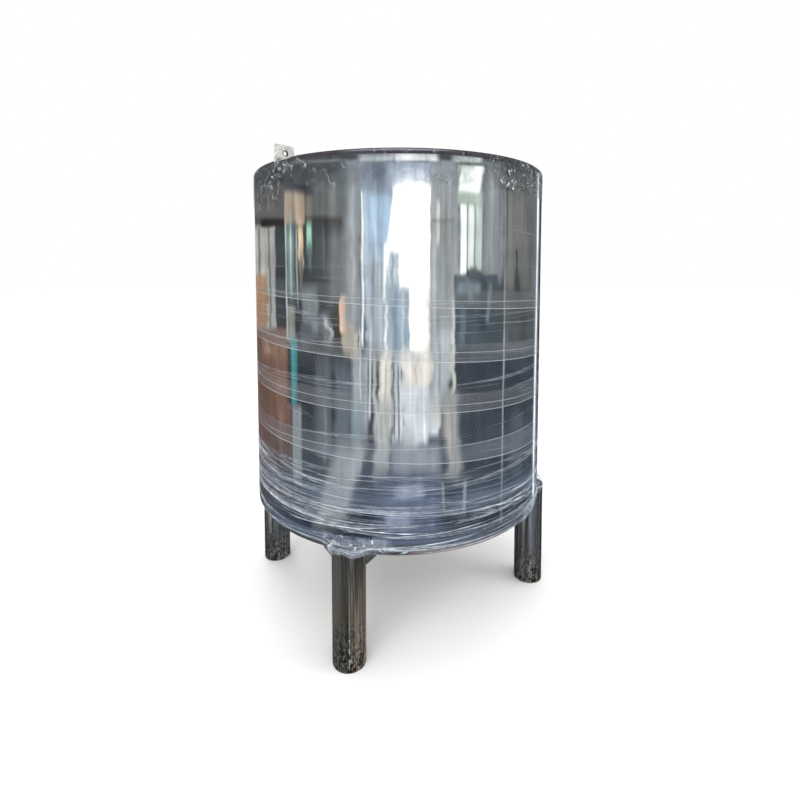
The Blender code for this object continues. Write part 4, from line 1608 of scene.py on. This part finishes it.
        Card(458, 481.5, 189, 203, (180, 198, 184), blur=4, fade=8),
        Card(460, 482, 201, 270, (128, 138, 132), blur=2, fade=4),
        Card(460.6, 466.4, 202, 273, (238, 246, 240), 1.3, 1.2, 5),
        Card(468, 473.6, 202, 268, (226, 238, 232), 1.1, 1.2, 5),
        Card(475, 481, 202, 267, (196, 210, 200), 1.0, 1.2, 5),
        Card(460, 482, 231.5, 232.7, (120, 132, 128), blur=1, fade=1),
        Card(460, 482, 246, 247.2, (130, 142, 138), blur=1, fade=1),
        Card(482, 503, 176, 278, (138, 144, 145), blur=3, fade=26, ragged=0.6),
        Card(489, 493, 182, 276, (156, 161, 162), blur=4, fade=30, ragged=0.8),
        Card(497, 500, 186, 276, (120, 126, 128), blur=3, fade=30, ragged=0.8),
        Card(505, 535, 172, 292, (110, 112, 108), blur=2, fade=20, ragged=0.5),
        Card(508, 512, 180, 284, (122, 122, 116), blur=3, fade=30, ragged=0.8),
        Card(526, 535, 190, 300, (96, 98, 96), blur=4, fade=30, ragged=1.0),
        Card(515.5, 517.3, 247, 300, (44, 44, 44), blur=1.4, fade=8, ragged=0.5),
        Card(514, 520, 270, 300, (70, 72, 72), blur=3, fade=18),
        Card(455, 498, 274, 352, (68, 80, 88), blur=1.5, fade=3, ragged=0.6),
        Card(470, 477, 266, 278, (72, 86, 92), blur=3, fade=4),
        Card(466, 470, 278, 300, (112, 124, 132), blur=3, fade=8, lean=4, ragged=1.6),
        Card(478, 486, 276, 330, (52, 64, 74), blur=3, fade=10, ragged=2.0),
        Card(488, 492, 282, 320, (104, 116, 124), blur=2, fade=10, lean=-3, ragged=1.6),
        Card(458, 480, 282, 292, (120, 134, 142), blur=6, fade=8, ragged=2.0),
        Card(460, 466, 306, 344, (96, 108, 118), blur=3, fade=14, ragged=1.6),
        Card(498, 535, 290, 352, (76, 82, 86), blur=2, fade=24, ragged=0.6),
        Card(506, 509, 300, 350, (94, 100, 102), blur=2, fade=26, ragged=0.8),
        Card(522, 527, 300, 350, (64, 68, 72), blur=4, fade=26, ragged=0.8),
        Card(452, 455.2, 298, 402, (204, 204, 196), blur=1.2, fade=6, ragged=1.5),
        Card(456, 537, 350, 520, (50, 60, 72), blur=3, fade=14),
        Card(458, 500, 384, 406, (50, 58, 66), blur=8, fade=10, ragged=2.0),
        Card(458, 537, 436, 470, (48, 56, 66), blur=6, fade=12, ragged=2.0),
        Card(512, 524, 402, 470, (72, 82, 92), blur=6, fade=26, ragged=1.0),
        Card(444, 458, 394, 478, (150, 152, 150), blur=8, fade=18, lean=4, ragged=2.0),
        Card(448, 452, 404, 470, (176, 172, 162), blur=3, fade=26, lean=3, ragged=1.0),
        Card(443, 446, 482, 512, (132, 142, 150), blur=2, fade=8, lean=2),
        Card(465, 468.5, 480, 512, (140, 150, 156), blur=2, fade=8, lean=-2, ragged=0.6),
        Card(446, 466, 511, 514.5, (122, 132, 142), blur=6, fade=2),
        Card(446.5, 464.5, 484, 511, (40, 50, 66), blur=3, fade=4),
        # far right
        Card(503.4, 504.8, 160, 520, (150, 156, 160), 1.0, 1.1, 5),
        Card(534.5, 535.6, 160, 530, (96, 104, 112), blur=1.0),
        Card(535.8, 537.4, 163, 519, (218, 226, 232), 1.4, 1.0, 5),
        Card(537.6, 538.6, 163, 519, (110, 120, 132), blur=0.8),
        Card(538.6, 541.0, 150, 560, (50, 54, 58), blur=0.8),
        # behind the tank, out of the picture
        Card(546, 562, 150, 420, (180, 186, 190), blur=8, fade=40),
        Card(566, 580, 190, 380, (236, 240, 244), 1.6, 5, 20),
        Card(584, 600, 120, 460, (112, 110, 106), blur=6, fade=40),
        Card(606, 622, 210, 420, (150, 132, 112), blur=6, fade=30),
        Card(200, 700, -420, -240, (150, 154, 160), blur=30, fade=60),
    )

    def bearing(self, column: np.ndarray) -> np.ndarray:
        """Return the bearing that the round wall mirrors at a picture column.

        The view ray meets the wall where its distance from the axis equals the
        radius, and leaves at the same angle to the normal on the other side.

        Args:
            column: Picture columns between the wall's two edges.

        Returns:
            Bearings in radians from the camera's side.
        """
        ray = np.arctan((column - self.middle) / self.focal)
        normal = np.arcsin(np.clip(self.eye * np.sin(ray), -1.0, 1.0)) - ray
        return 2.0 * normal + ray

    def elevation(self, row: np.ndarray) -> np.ndarray:
        """Return the elevation that an upright wall mirrors at a picture row."""
        return np.arctan((self.level - row) / self.focal) - self.pitch

    def build(self) -> None:
        """Build the dome, paint it and give it its light."""
        reach = self.focal * 0.9995 / math.sqrt(self.eye ** 2 - 1.0)
        seen = np.linspace(self.middle - reach, self.middle + reach, 474)
        behind = np.linspace(seen[-1], seen[-1] + 100.0, 62)[1:-1]
        edges = self.bearing(seen)
        unseen = edges[-1] + (2.0 * math.pi - edges[-1] + edges[0]) * (behind - seen[-1]) / 100.0
        bearing = np.concatenate([edges, unseen])
        columns = np.concatenate([seen, behind])
        rows = np.arange(134.0, 566.0, 3.0)
        low, high = self.elevation(rows[-1]), self.elevation(rows[0])
        up = np.linspace(math.pi / 2.0 - 0.01, high, 26)[:-1]
        down = np.linspace(low, -math.pi / 2.0 + 0.01, 12)[1:]
        elevation = np.concatenate([up, self.elevation(rows), down])
        row = np.concatenate([rows[0] - (up - high) * 400.0, rows, rows[-1] + (low - down) * 400.0])
        u, v = np.meshgrid(columns, row)
        paint = self.paint(u, v)
        flat = np.cos(elevation)[:, None]
        points = self.reach * np.stack([
            flat * np.sin(bearing)[None, :], -flat * np.cos(bearing)[None, :],
            np.sin(elevation)[:, None] + 0.0 * bearing[None, :],
        ], axis=-1)
        points[..., 2] += 1.2
        dome = Surface.from_grid(points, wrap_columns=True).to_object("studio_cards")
        layer = dome.data.color_attributes.new("paint", "FLOAT_COLOR", "POINT")
        colours = np.concatenate([paint.reshape(-1, 3), np.ones((paint.size // 3, 1))], axis=1)
        layer.data.foreach_set("color", colours.astype(np.float32).ravel())
        dome.data.materials.append(self.material())
        for name in ("visible_camera", "visible_diffuse", "visible_transmission", "visible_volume_scatter", "visible_shadow"):
            setattr(dome, name, False)

    def paint(self, column: np.ndarray, row: np.ndarray) -> np.ndarray:
        """Return the light of every point of the dome.

        Cards are laid over a slate ground in order, and two noises vary the
        result, one in upright streaks and one in soft patches.

        Args:
            column: Picture column of each point.
            row: Picture row of each point.

        Returns:
            Linear red, green and blue.
        """
        light = np.zeros(column.shape + (3,)) + Card(0, 0, 0, 0, (58, 62, 72)).light()
        for card in self.CARDS:
            cover = card.mask(column, row)[..., None]
            light = light * (1.0 - cover) + card.light() * cover
        streak = lattice_noise(column / 3.1, row / 70.0, 71) + 0.6 * lattice_noise(column / 1.4, row / 34.0, 72)
        patch = lattice_noise(column / 14.0, row / 16.0, 73) + 0.5 * lattice_noise(column / 5.0, row / 6.0, 74)
        return light * np.exp(0.17 * streak + 0.12 * patch)[..., None]

    def material(self) -> bpy.types.Material:
        """Make the cards' light from the painted points."""
        material = bpy.data.materials.new("card light")
        material.use_nodes = True
        material.cycles.emission_sampling = "NONE"
        tree = material.node_tree
        tree.nodes.clear()
        sketch = NodeSketch(tree)
        paint = sketch.node("ShaderNodeAttribute", attribute_name="paint")
        glow = sketch.node("ShaderNodeEmission")
        sketch.link(paint.outputs["Color"], glow.inputs["Color"])
        sketch.link(glow.outputs[0], sketch.node("ShaderNodeOutputMaterial").inputs["Surface"])
        return material


class Studio:
    """The pale floor, the soft lights, the cards round the tank and the camera."""

    def build(self) -> None:
        """Set up the view, the surroundings, the lights, the floor and the camera."""
        bpy.context.scene.view_settings.view_transform = "Standard"
        self.build_world()
        Surroundings().build()
        self.build_lights()
        self.build_floor()
        self.build_camera()

    def build_world(self) -> None:
        """Build the world: white behind the object, soft white light on matt surfaces."""
        world = bpy.data.worlds.new("studio")
        world.use_nodes = True
        world.cycles.sampling_method = "NONE"
        bpy.context.scene.world = world
        tree = world.node_tree
        tree.nodes.clear()
        sketch = NodeSketch(tree)
        rays = sketch.node("ShaderNodeLightPath")
        seen = sketch.mix(rays.outputs["Is Camera Ray"], (1.17, 1.17, 1.17), (1.0, 1.0, 1.0))
        background = sketch.node("ShaderNodeBackground")
        sketch.link(seen, background.inputs["Color"])
        sketch.link(background.outputs[0], sketch.node("ShaderNodeOutputWorld").inputs["Surface"])

    def build_lights(self) -> None:
        """Hang three soft panels: one in front, one at each side above."""
        panels = (
            ("front panel", (-1.6, -3.4, 3.2), 2.4, 60.0),
            ("right panel", (3.2, -0.6, 2.6), 1.8, 40.0),
            ("back panel", (-2.2, 2.8, 3.0), 2.2, 45.0),
        )
        for name, place, size, power in panels:
            light = bpy.data.lights.new(name, "AREA")
            light.shape = "SQUARE"
            light.size = size
            light.energy = power
            obj = bpy.data.objects.new(name, light)
            obj.location = place
            aim = np.array([0.0, 0.0, 1.0]) - np.array(place)
            yaw = math.atan2(aim[1], aim[0]) - math.pi / 2.0
            pitch = math.atan2(aim[2], math.hypot(aim[0], aim[1])) + math.pi / 2.0
            obj.rotation_euler = (pitch, 0.0, yaw)
            obj.visible_glossy = False
            bpy.context.scene.collection.objects.link(obj)

    def build_floor(self) -> None:
        """Lay the pale floor, which polished surfaces don't see."""
        half = 40.0
        points = np.array([[-half, -half, 0.0], [half, -half, 0.0], [half, half, 0.0], [-half, half, 0.0]])
        floor = Surface(points, [(0, 1, 2, 3)]).to_object("studio_floor")
        material, sketch, shader = Finish("pale floor", (0.93, 0.93, 0.93), 0.9, 0.0).start()
        floor.data.materials.append(material)
        floor.visible_glossy = False

    def build_camera(self) -> None:
        """Place the camera at eye height, as a handheld photograph was taken."""
        focal_pixels = 492.0
        picture = 800.0
        camera = bpy.data.cameras.new("camera")
        camera.sensor_width = 36.0
        camera.lens = focal_pixels / picture * camera.sensor_width
        camera.shift_x = (400.0 - 398.1) / picture
        camera.shift_y = (295.5 - 400.0) / picture
        obj = bpy.data.objects.new("camera", camera)
        obj.location = (0.0, -3.6 * FORM.radius, 2.26 * FORM.radius)
        obj.rotation_euler = (math.radians(90.0 - 3.5), 0.0, 0.0)
        bpy.context.scene.collection.objects.link(obj)
        bpy.context.scene.camera = obj


def main() -> None:
    """Build the studio and every sub-assembly in order."""
    logging.basicConfig(level=logging.INFO, format="%(message)s")
    Studio().build()
    palette = Palette()
    Vessel(palette).build()
    Manway(palette).build()
    Outlet(palette).build()
    legs = Legs(palette)
    legs.build()
    Lugs(palette).build()
    Film(palette, legs).build()


if __name__ == "__main__":
    main()
